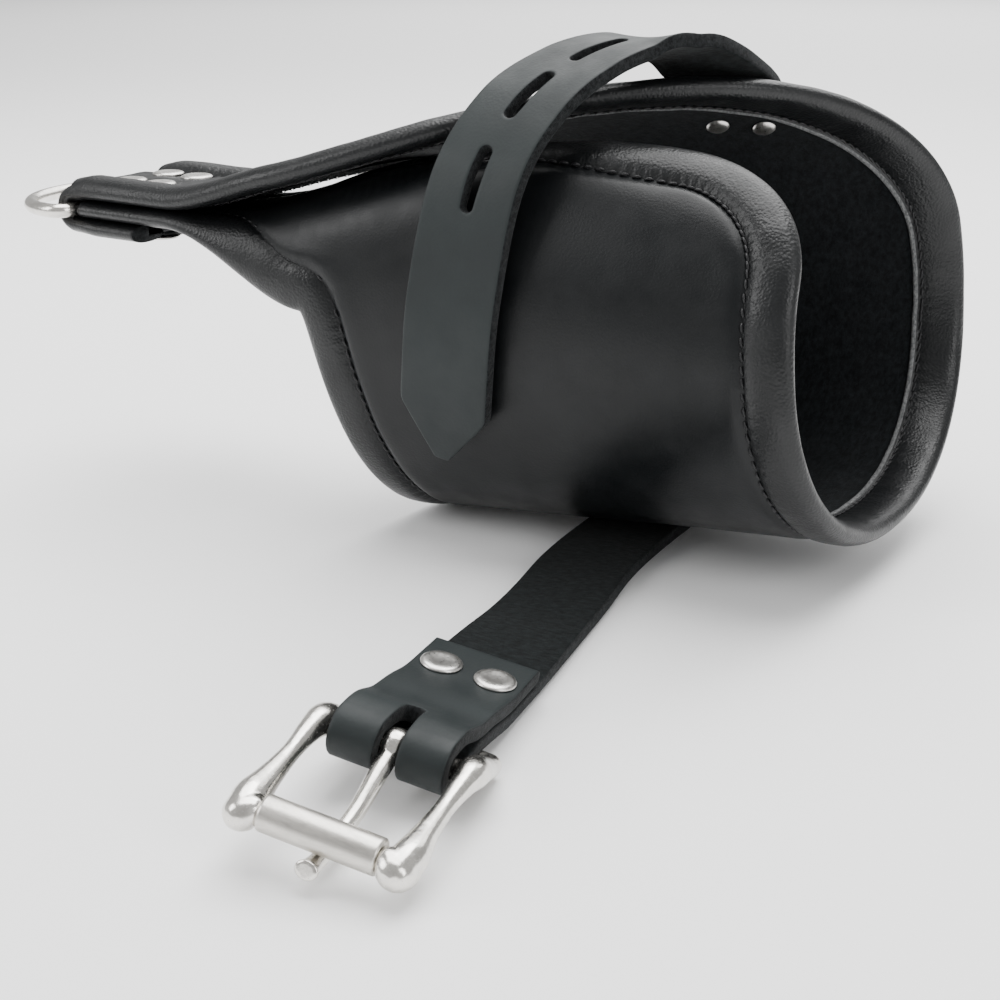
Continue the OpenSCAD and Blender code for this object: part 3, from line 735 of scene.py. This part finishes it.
def rolled(v, share):
    """Places in the flat strap's frame moved by a share of its twist, and the directions across."""
    v = np.asarray(v, float)
    a = np.radians(END_ROLL * share)
    c, s = np.cos(a), np.sin(a)
    moved = np.stack([v[..., 0] * c + v[..., 2] * s, v[..., 1],
                      v[..., 2] * c - v[..., 0] * s + END_RISE * share], -1)
    return moved, np.stack([c, 0 * c, -s], -1)


def at_buckle(v):
    """Places in the flat strap's frame, moved as the buckle is: by the whole twist."""
    return at_floor_hinge(rolled(v, 1.0)[0])


def on_panel(x, u):
    """A row of the strap's path on the panel's outer face: place and direction across."""
    n = outward(x, u)
    side = unit(np.array([1.0, 0, 0]) - n * n[0])
    return np.concatenate([panel(x, u) + BACK_OFF * n, side])


class Strap:
    """A flat strap bent along a path of rows (place, direction across)."""

    def __init__(self, path):
        self.p = path[:, :3]
        step = np.linalg.norm(np.diff(self.p, axis=0), axis=1)
        self.run = np.concatenate([[0], np.cumsum(step)])
        along = unit(np.gradient(self.p, self.run, axis=0))
        side = path[:, 3:]
        self.side = unit(side - along * (along * side).sum(1, keepdims=True))
        self.top = unit(np.cross(along, self.side))
        self.length = self.run[-1]

    def at(self, s, w, z):
        """Places at the run s, w across and z above the strap's middle."""
        across_it, above_it = picked(s, self.run, self.side), picked(s, self.run, self.top)
        return picked(s, self.run, self.p) + across_it * w[:, None] + above_it * z[:, None]


# The strap's rounded edge: distances from it that are drawn, and the radius
ROUNDING = np.array([0, 0.1, 0.3, 0.6, 1.1])
ROUND_R = 0.7
ROW_STEP = 1.1
# Round a slot: the room for its own rings, and their distances from its edge
SLOT_ROOM_ACROSS, SLOT_ROOM_ALONG = 2.4, 2.6
SLOT_RINGS = (0, 0.08, 0.24, 0.5, 1.1)
# Faces nearer to a cut edge than this have the edge's look
CUT_SHOWS = 0.35
# The back's UV lies beside the front's
UV_BACK_OFFSET = 60.0


def half_widths(rows, s1, tip):
    """The strap's half width at each row; it comes to a blunt point over the last tip mm."""
    half = STRAP_W / 2
    if not tip:
        return np.full_like(rows, half)
    return np.interp(s1 - rows, [0, 0.6, tip, tip + 2, tip + 400], [1.6, 2.4, half - 0.2, half, half])


def strap_plan(rows, columns, half, first, last):
    """(run, place across, distance from the nearest cut edge) of the grid's points. The columns next
    to the edges keep their distance from the edge, and the others share what is left."""
    rim = ROUNDING[-1]
    plan = []
    for s, half_here in zip(rows, half):
        squeeze = max(half_here / (STRAP_W / 2), 0.15)
        for w in columns:
            gap = STRAP_W / 2 - abs(w)
            if gap < rim + 0.1:
                w = np.sign(w) * max(half_here - gap * squeeze, 0)
            else:
                w = w * ((half_here - rim * squeeze) / (STRAP_W / 2 - rim))
            plan.append((s, w, max(min(half_here - abs(w), s - first, last - s), 0)))
    return plan


def slot_rings(loop, plan, rows_box, slot):
    """Rings of points from a slot's edge towards the loop of grid points that surrounds it."""
    mid, length, width = slot
    straight_half = (length - width) / 2
    box_half, box_mid = (rows_box[1] - rows_box[0]) / 2, (rows_box[1] + rows_box[0]) / 2
    spokes = []
    for v in loop:
        s, w, _ = plan[v]
        core = mid + np.clip((s - box_mid) * straight_half / (box_half - 2), -straight_half, straight_half)
        out = unit(np.array([s - core, w]))
        spokes.append([(*(np.array([core, 0.0]) + out * (width / 2 + d)), d * 1.4) for d in SLOT_RINGS])
    return [[spoke[k] for spoke in spokes] for k in range(len(SLOT_RINGS))]


def strap_piece(name, strap, s0, s1, slots=(), tip=0.0, open_ends=(False, False), grain_up=True,
                uv_shift=0.0):
    """The strap from s0 to s1, with rounded edges, slots (middle, length, width) and a point."""
    inner = np.linspace(ROUNDING[-1], STRAP_W / 2, 10)[1:]
    from_middle = STRAP_W / 2 - np.concatenate([ROUNDING, inner])
    columns = np.concatenate([-from_middle, from_middle[::-1][1:]])
    ends = ROUNDING[1:-1]
    rows = np.unique(np.concatenate([
        np.linspace(s0, s1, int((s1 - s0) / ROW_STEP) + 1),
        [] if open_ends[0] else s0 + ends, [] if open_ends[1] else s1 - ends,
    ]).round(6))
    plan = strap_plan(rows, columns, half_widths(rows, s1, tip), -math.inf if open_ends[0] else s0,
                      math.inf if open_ends[1] else s1)

    across_n = len(columns)
    blocked = np.zeros((len(rows) - 1, across_n - 1), bool)
    boxes = []
    for mid, length, width in slots:
        i0 = np.searchsorted(rows, mid - length / 2 - SLOT_ROOM_ALONG)
        i1 = np.searchsorted(rows, mid + length / 2 + SLOT_ROOM_ALONG)
        c1 = int(np.argmax(columns > width / 2 + SLOT_ROOM_ACROSS))
        c0 = across_n - 1 - c1
        blocked[i0:i1, c0:c1] = True
        boxes.append((i0, i1, c0, c1))
    quads = []
    for i, c in np.argwhere(~blocked):
        a = int(i * across_n + c)
        quads.append((a, a + 1, a + across_n + 1, a + across_n))
    for slot, (i0, i1, c0, c1) in zip(slots, boxes):
        loop = ([i0 * across_n + c for c in range(c0, c1)] + [i * across_n + c1 for i in range(i0, i1)]
                + [i1 * across_n + c for c in range(c1, c0, -1)]
                + [i * across_n + c0 for i in range(i1, i0, -1)])
        n, circles = len(loop), []
        for ring in slot_rings(loop, plan, (rows[i0], rows[i1]), slot):
            circles.append(range(len(plan), len(plan) + n))
            plan += ring
        for near, far in zip(circles, circles[1:] + [loop]):
            quads += [(near[q], far[q], far[(q + 1) % n], near[(q + 1) % n]) for q in range(n)]

    # Two faces, each rounded down to the cut edges, and a wall round every outline
    plan = np.array(plan)
    d = np.minimum(plan[:, 2], ROUND_R)
    z = STRAP_T / 2 - ROUND_R + np.sqrt(np.maximum(ROUND_R**2 - (ROUND_R - d) ** 2, 0))
    top, bottom = strap.at(plan[:, 0], plan[:, 1], z), strap.at(plan[:, 0], plan[:, 1], -z)
    n = len(plan)
    grain, back, cut = 0, 1, 2
    upper, lower = (grain, back) if grain_up else (back, grain)
    faces, index = [], []
    for q in quads:
        at_cut = plan[list(q), 2].max() < CUT_SHOWS
        faces += [q[::-1], tuple(v + n for v in q)]
        index += [cut if at_cut else upper, cut if at_cut else lower]
    sides = {(q[k], q[(k + 1) % 4]): None for q in quads for k in range(4)}
    walls = [(a, b, b + n, a + n) for a, b in sides if (b, a) not in sides]
    faces += walls
    index += [cut] * len(walls)
    along_it = plan[:, 0] + uv_shift
    uv = np.concatenate([np.stack([along_it, plan[:, 1]], 1),
                         np.stack([along_it, plan[:, 1] + UV_BACK_OFFSET], 1)]) * MM
    piece = make(name, np.concatenate([top, bottom]), faces, [STRAP, STRAP_FLESH, STRAP_EDGE], index, uv)
    piece.data.set_sharp_from_angle(angle=math.radians(55))
    return piece


# The pointed end, from behind the hinge over the top and down the front
STRAP_X, SEAM_U = 27, 0.915
FRONT_STEPS, BACK_STEPS = 14, 10
front_rows = [on_panel(STRAP_X, u) for u in (0.9, SEAM_U, 0.93, POINT_U)]
point_strap = Strap(catmull(np.array(front_rows + [np.array(r, float) for r in POINT_ROUTE]),
                            FRONT_STEPS))
# The slots' middles: sixths of a stretch between control points, counted from the hinge's row
SLOT_SIXTHS = (22, 29, 36)
slot_runs = [point_strap.run[int(round(FRONT_STEPS * (3 + k / 6)))] for k in SLOT_SIXTHS]
point_piece = strap_piece(
    "strap_leather_front", point_strap, point_strap.run[FRONT_STEPS], point_strap.length,
    slots=[(run, SLOT_LEN, SLOT_W) for run in slot_runs], tip=15.0, open_ends=(True, False),
)

# Down the back and out below the tube, then the buckle end
BACK_FIRST_U, BACK_ROWS, UNDER_X = 0.9335, 16, 14.5
back_rows = [on_panel(STRAP_X, 0.93), on_panel(STRAP_X, SEAM_U)]
for share in np.arange(2, BACK_ROWS + 1) / BACK_ROWS:
    back_rows.append(on_panel(mix(STRAP_X, UNDER_X, ease(share)), mix(BACK_FIRST_U, 0.5, share)))
back_rows += [
    np.array([14.8, 18, LOW, 1, 0, 0]), np.array([15.2, 8, LOW, 1, 0, 0]),
    np.array([16.4, -10, LOW, 1, 0.04, 0]),
    np.array([18.5, -26, LOW, math.cos(FLOOR_TURN), 0.7 * math.sin(FLOOR_TURN), 0]),
]
hinge_row = len(back_rows)
# (y, z) of the buckle end before its twist: below, round the centre bar, and back over itself
under = [(0, LOW), (-16, LOW), (-32, LOW), (-46, LOW), (-56, LOW + 0.6), (-66, LOW + 1.2),
         (-75, LOW + 3), (REAR_Y, LOW + 4.3), (-90, BUCKLE_Z - LOOP_R + 0.5)]
loop = [(BAR_Y - LOOP_R * math.cos(a), BUCKLE_Z + LOOP_R * math.sin(a))
        for a in np.radians(range(-90, 91, 22))]
over = [(-90.5, BUCKLE_Z + LOOP_R - 0.3), (REAR_Y, LOW + 4.6 + LAP), (-75, LOW + 3.3 + LAP),
        (-66, LOW + 1.3 + LAP), (-56, LOW + 0.7 + LAP), (-50, LOW + 0.4 + LAP)]
flat_rows = np.array([(0, y, z) for y, z in under + loop + over])
end_places, end_sides = rolled(flat_rows, ease((TWIST_START - flat_rows[:, 1]) / TWIST_RUN))
end_rows = np.concatenate([at_floor_hinge(end_places), turned(end_sides)], 1)
whole = Strap(catmull(np.concatenate([np.array(back_rows), end_rows]), BACK_STEPS))
# The strap's seam below the tube, out of sight
seam_run = whole.run[BACK_STEPS * (hinge_row - 3)]
back_piece = strap_piece("strap_leather_back", whole, whole.run[BACK_STEPS], seam_run,
                         open_ends=(True, True), grain_up=False, uv_shift=300)
loop_first = hinge_row + len(under)
slit_from = whole.run[BACK_STEPS * (loop_first - 1) - 6]
slit_to = whole.run[BACK_STEPS * (loop_first + len(loop)) + 4]
buckle_piece = strap_piece(
    "strap_leather_buckle", whole, seam_run, whole.length,
    slots=[((slit_from + slit_to) / 2, slit_to - slit_from, SLIT_W)], open_ends=(True, False),
    grain_up=False, uv_shift=300,
)
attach(back_piece, "cuff")
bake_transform(point_piece)
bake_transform(buckle_piece)
for piece, name in ((point_piece, "strap_point_end"), (back_piece, "strap_back"),
                    (buckle_piece, "strap_buckle_end")):
    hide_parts(name)


# -------- metal
def lathe(profile, sides=48):
    """Points and faces of a profile (radius, height) turned about Z. It starts on the axis."""
    verts, faces = [(0, 0, profile[0][1])], []
    for r, h in profile[1:]:
        verts += [(x, y, h) for x, y in circle(r, sides)]
    for k in range(sides):
        faces.append((0, 1 + k, 1 + (k + 1) % sides))
    for ring in range(len(profile) - 2):
        a, b = 1 + ring * sides, 1 + (ring + 1) * sides
        faces += [(a + k, b + k, b + (k + 1) % sides, a + (k + 1) % sides) for k in range(sides)]
    last = 1 + (len(profile) - 2) * sides
    faces.append(tuple(last + k for k in range(sides - 1, -1, -1)))
    return np.array(verts, float), faces


def aimed(v, p, n):
    """Points turned from +Z to n and moved to p."""
    turn = Vector((0, 0, 1)).rotation_difference(Vector(n)).to_matrix()
    return v @ np.array(turn).T + np.asarray(p, float)


def gather(name, parts, material):
    verts, faces, count = [], [], 0
    for v, f in parts:
        verts.append(v)
        faces += [tuple(i + count for i in q) for q in f]
        count += len(v)
    return make(name, np.concatenate(verts), faces, material)


# Rivet caps as profiles (radius, height)
DOME = [(0, 1.72), (1.2, 1.68), (2.4, 1.52), (3.4, 1.24), (4.1, 0.88), (4.5, 0.5), (4.66, 0.22),
        (4.62, 0.02), (4.4, -0.12), (2.0, -0.12)]
FLAT = [(0, 0.78), (0.9, 0.775), (1.8, 0.81), (2.7, 0.86), (3.4, 0.84), (4.0, 0.72), (4.4, 0.52),
        (4.64, 0.26), (4.62, 0.04), (4.4, -0.12), (2.0, -0.12)]
DIMPLED = [(0, 0.86), (0.8, 0.87), (1.5, 0.91), (2.2, 0.99), (2.8, 1.03), (3.5, 0.99), (4.1, 0.85),
           (4.5, 0.6), (4.68, 0.3), (4.62, 0.04), (4.4, -0.12), (2.0, -0.12)]

TAIL_TOP = TAIL_Z + LEG_GAP / 2 + PANEL_THICK / 2
TAIL_LOW = FOLD_UNDER_Z - PANEL_THICK / 2
flat_cap, flat_faces = lathe(FLAT)
dome_cap, dome_faces = lathe(DOME)
dimpled_cap, dimpled_faces = lathe(DIMPLED)

tail_parts = []
for x, y in TAIL_RIVETS:
    tail_parts += [(aimed(flat_cap, (x, y, TAIL_TOP - PRESSED + 0.05), (0, 0, 1)), flat_faces),
                   (aimed(flat_cap, (x, y, TAIL_LOW), (0, 1e-4, -1)), flat_faces)]
tail_caps = gather("tail_rivets", tail_parts, RIVET)

# The strap's rivets: (x, u) on the panel, and how much smaller their inner heads are
STRAP_RIVETS, INNER_HEAD = ((22, 0.898), (32, 0.902)), [0.66, 0.66, 0.6]
strap_parts = []
for x, u in STRAP_RIVETS:
    p, n = panel(x, u), outward(x, u)
    strap_parts += [(aimed(dome_cap, p + n * (BACK_OFF + STRAP_T / 2), n), dome_faces),
                    (aimed(dome_cap * INNER_HEAD, p - n * (PANEL_THICK / 2 + 0.1), -n), dome_faces)]
strap_caps = gather("strap_rivets", strap_parts, RIVET)

# The fold's rivets: place across, the caps' heights, the lap's slope and how flat the low cap is
FOLD_RIVETS_X, FOLD_TOP_Z, FOLD_LOW_Z = 6.3, LOW + 1.0 + LAP + STRAP_T / 2, 0.62
LAP_SLOPE, LOW_CAP = 0.06, 0.3
fold_parts = []
for x in (-FOLD_RIVETS_X, FOLD_RIVETS_X):
    upper_cap = aimed(dimpled_cap, (x, RIVET_Y, FOLD_TOP_Z), (0, LAP_SLOPE, 1))
    lower_cap = aimed(dome_cap * [1, 1, LOW_CAP], (x, RIVET_Y, FOLD_LOW_Z), (0, -LAP_SLOPE, -1))
    fold_parts += [(at_buckle(upper_cap), dimpled_faces), (at_buckle(lower_cap), dome_faces)]
fold_caps = gather("fold_rivets", fold_parts, RIVET)


def tube(points, radii, sides=20, flatten=1.0, closed=False, up=(0, 0, 1)):
    """A round tube through points. radii and flatten are numbers, or have one value for each ring;
    flatten is the ring's second radius as a share of the first."""
    p = np.asarray(points, float)
    radii, flatten = (np.broadcast_to(v, len(p))[:, None] for v in (radii, flatten))
    along = unit(np.roll(p, -1, 0) - np.roll(p, 1, 0) if closed else np.gradient(p, axis=0))
    top = np.zeros_like(p)
    last = unit(np.cross(np.cross(along[0], np.array(up, float)), along[0]))
    for i in range(len(p)):
        last = unit(last - along[i] * (last @ along[i]))
        top[i] = last
    side = np.cross(along, top)
    verts = [p + (top * (z * flatten) + side * y) * radii for y, z in circle(1, sides)]
    return np.stack(verts, 1).reshape(-1, 3), tube_faces(len(p), sides, closed)


def fuse_and_soften(obj, voxel, rounds):
    """Fuses a piece's overlapping bodies into one skin and softens where they meet."""
    bpy.context.view_layer.objects.active = obj
    fuse = {"mode": "VOXEL", "voxel_size": voxel * MM, "use_smooth_shade": True}
    for kind, values in (("REMESH", fuse), ("SMOOTH", {"factor": 0.5, "iterations": rounds})):
        modifier = obj.modifiers.new(kind.lower(), kind)
        for key, value in values.items():
            setattr(modifier, key, value)
        bpy.ops.object.modifier_apply(modifier=modifier.name)


RING_HALF, RING_CORNER, BOW_POWER = LEG_WIDTH / 2 + WIRE / 2 + 1.6, 4.0, 0.9


def ring_outline():
    """The D-ring's wire: a straight bar in the fold, two small corners and a bow outside it."""
    half, corner = RING_HALF, RING_CORNER
    bar = [(0, y) for y in np.linspace(-half + corner, half - corner, 12)]
    turn = np.radians(np.linspace(0, 90, 7))
    corner_x = -corner + corner * np.cos(turn)
    corner_y = half - corner + corner * np.sin(turn)
    bow = [(-corner - (half - corner) * math.sin(a) ** BOW_POWER, half * math.cos(a))
           for a in np.radians(np.linspace(0, 180, 41))[1:-1]]
    back = list(zip(corner_x, -corner_y))[:0:-1]
    xy = np.array(bar + list(zip(corner_x, corner_y))[1:] + bow + back)
    return np.stack([BAR_X + xy[:, 0], TAIL_MID_Y + xy[:, 1], np.full(len(xy), BAR_Z)], 1)


d_ring = gather("d_ring_bow", [tube(ring_outline(), WIRE / 2, 24, closed=True)], NICKEL)

# The buckle's cast frame. Rows are the place and radius on its right side.
ARM = [(15.0, -81.6, 2.5, 2.3), (15.4, -84.5, 3.3, 2.3), (15.9, -90, 6.4, 2.7), (16.1, -95.5, 9.0, 3.3),
       (16.2, -101, 9.4, 2.5), (16.0, -108, 8.7, 1.95), (15.9, -116, 7.9, 2.5), (16.0, -122, 7.0, 3.5),
       (15.5, -126.0, 6.6, 3.3)]
KNUCKLE = [(16.6, -123.5, 5.6, 2.9), (15.6, -126.4, 6.2, 3.4), (13.6, -125.6, 7.0, 3.1),
           (12.2, -125.0, 7.0, 2.4)]
# The bars across: (half length, y and z at the ends, y and z in the middle, radius)
BARS = [(15.6, (BAR_Y, BUCKLE_Z), (BAR_Y, BUCKLE_Z), 2.0),
        (15.0, (ROLLER_Y, ROLLER_Z), (ROLLER_Y, ROLLER_Z), 1.8),
        (15.2, (-81.8, 2.5), (-81.4, 2.3), 2.15)]
frame_parts = []
for side in (-1, 1):
    arm, knuckle = catmull(ARM, 6), catmull(KNUCKLE, 6)
    frame_parts += [tube(arm[:, :3] * [side, 1, 1], arm[:, 3], up=(1, 0, 0)),
                    tube(knuckle[:, :3] * [side, 1, 1], knuckle[:, 3])]
for half, ends, middle, r in BARS:
    frame_parts.append(tube(catmull([(-half, *ends), (0, *middle), (half, *ends)], 8), r))
buckle = gather("buckle_frame_cast", [(at_buckle(v), f) for v, f in frame_parts], NICKEL)
fuse_and_soften(buckle, 0.36, 6)

ROLLER_HALF, ROLLER_SIDES = (STRAP_W - 1.4) / 2, 64
# (radius, distance in from the end) of one half of the roller's outside
ROLLER_END = [(1.9, 0.3), (2.7, 0), (3.2, 0.02), (3.45, 0.25), (3.5, 0.7)]


def roller_tube():
    """A rolled tube with softened ends and a bore."""
    profile = ([(r, d - ROLLER_HALF) for r, d in ROLLER_END] + [(ROLLER_END[-1][0], 0.0)]
               + [(r, ROLLER_HALF - d) for r, d in ROLLER_END[::-1]])
    n = ROLLER_SIDES
    verts = [(h, ROLLER_Y + y, ROLLER_Z + z) for r, h in profile for y, z in circle(r, n)]
    faces = []
    for ring in range(len(profile)):
        a, b = ring * n, ((ring + 1) % len(profile)) * n
        faces += [(a + (k + 1) % n, b + (k + 1) % n, b + k, a + k) for k in range(n)]
    return at_buckle(np.array(verts)), faces


roller = make("buckle_roller_tube", *roller_tube(), NICKEL_WORN)

# The tongue: a curl round the centre bar, and a pin with its tip below the roller. At shares of its
# length, its half width, and its thickness as a share of that
CURL_R, CURL_WIRE, CURL_WIDTH = 2.95, 0.86, 2.3
TONGUE_PATH = [(0, BAR_Y - 2.6, BUCKLE_Z - 0.2), (0, BAR_Y - 8, BUCKLE_Z - 2.5),
               (0, BAR_Y - 15, BUCKLE_Z - 5.7), (0, ROLLER_Y + 7, 2.2), (0, ROLLER_Y, 1.75),
               (0, ROLLER_Y - 3.6, 2.15), (0, ROLLER_Y - 5.2, 2.6)]
TONGUE_WIDTH = ([0, 0.3, 0.7, 0.86, 0.95, 1], [2.1, 1.8, 1.75, 2.2, 2.5, 1.8])
TONGUE_THIN = ([0, 0.3, 0.7, 0.86, 1], [0.85, 0.95, 0.92, 0.68, 0.9])
curl = [(0, BAR_Y + y, BUCKLE_Z + z) for y, z in circle(CURL_R, 24)]
curl_v, curl_f = tube(curl, CURL_WIRE, 16, closed=True, up=(1, 0, 0))
tongue_line = catmull(TONGUE_PATH, 5)
shares = np.linspace(0, 1, len(tongue_line))
pin_v, pin_f = tube(tongue_line, np.interp(shares, *TONGUE_WIDTH), 18,
                    flatten=np.interp(shares, *TONGUE_THIN))
tongue = gather("buckle_tongue_cast", [(at_buckle(curl_v * [CURL_WIDTH, 1, 1]), curl_f),
                                       (at_buckle(pin_v), pin_f)], NICKEL)
fuse_and_soften(tongue, 0.26, 4)

for piece, body, name in (
    (tail_caps, "cuff", "tail_rivet_caps"), (strap_caps, "cuff", "strap_rivet_caps"),
    (fold_caps, "buckle_strap", "fold_rivet_caps"), (d_ring, "ring", "d_ring"),
    (buckle, "buckle", "buckle_frame"), (roller, "roller", "buckle_roller"),
    (tongue, "tongue", "buckle_tongue"),
):
    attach(piece, body)
    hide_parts(name)

for name in ("tail_rivet_posts", "strap_rivet_posts", "fold_rivet_posts"):
    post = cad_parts[name]
    post.data.materials.clear()
    post.data.materials.append(RIVET)

# -------- the stage
FLOOR_HALF, FLOOR_Z = 6.0, -0.0004
floor_material, _, floor_shader = new_material("floor")
floor_shader.inputs["Base Color"].default_value = (0.95, 0.95, 0.95, 1)
floor_shader.inputs["Roughness"].default_value = 0.8
floor_mesh = bpy.data.meshes.new("floor")
corners = np.array([(-1, -1, 0), (1, -1, 0), (1, 1, 0), (-1, 1, 0)]) * FLOOR_HALF
floor_mesh.from_pydata([tuple(c) for c in corners], [], [(0, 1, 2, 3)])
floor_mesh.materials.append(floor_material)
floor = placed("floor", floor_mesh)
floor.location.z = FLOOR_Z

world = bpy.data.worlds.new("studio")
bpy.context.scene.world = world
world.use_nodes = True
sky = world.node_tree.nodes["Background"]
sky.inputs["Color"].default_value = (1, 1, 1, 1)
sky.inputs["Strength"].default_value = 0.55


def point(obj, place, direction):
    """Puts a light or camera at place, looking in the direction."""
    obj.location = place
    obj.rotation_mode = "QUATERNION"
    obj.rotation_quaternion = direction.to_track_quat("-Z", "Y")


def softbox(name, place, aim, width, height, watts):
    """A rectangular light at place, turned towards aim, in metres."""
    light = bpy.data.lights.new(name, "AREA")
    light.shape, light.size, light.size_y, light.energy = "RECTANGLE", width, height, watts
    point(placed(name, light), place, Vector(aim) - Vector(place))


softbox("top_light", (-0.1, 0.2, 1.1), (0, 0, 0.05), 1.1, 1.1, 26)
softbox("front_light", (-0.75, -0.75, 0.65), (0, 0, 0.06), 0.5, 0.7, 7)
softbox("back_light", (-0.7, 2.3, 1.5), (-0.9, 1.9, 0), 3.0, 2.2, 75)
softbox("side_light", (0.95, -0.25, 0.5), (0.05, 0, 0.06), 0.35, 0.6, 4)

# -------- the camera
AZIMUTH, ELEVATION = math.radians(32.75), math.radians(21.0)
DISTANCE, LENS, SENSOR, SHIFT = 429.5, 54.0, 36.0, -0.0202
TARGET = np.array([-18.1, 0.0, 5.0])
forward = np.array([-math.sin(AZIMUTH) * math.cos(ELEVATION), math.cos(AZIMUTH) * math.cos(ELEVATION),
                    -math.sin(ELEVATION)])
camera_data = bpy.data.cameras.new("camera")
camera_data.lens, camera_data.sensor_width = LENS, SENSOR
camera_data.shift_x = SHIFT
camera_data.clip_start = 0.01
camera = placed("camera", camera_data)
point(camera, Vector(to_frame(TARGET - forward * DISTANCE)), Vector(forward))
bpy.context.scene.camera = camera
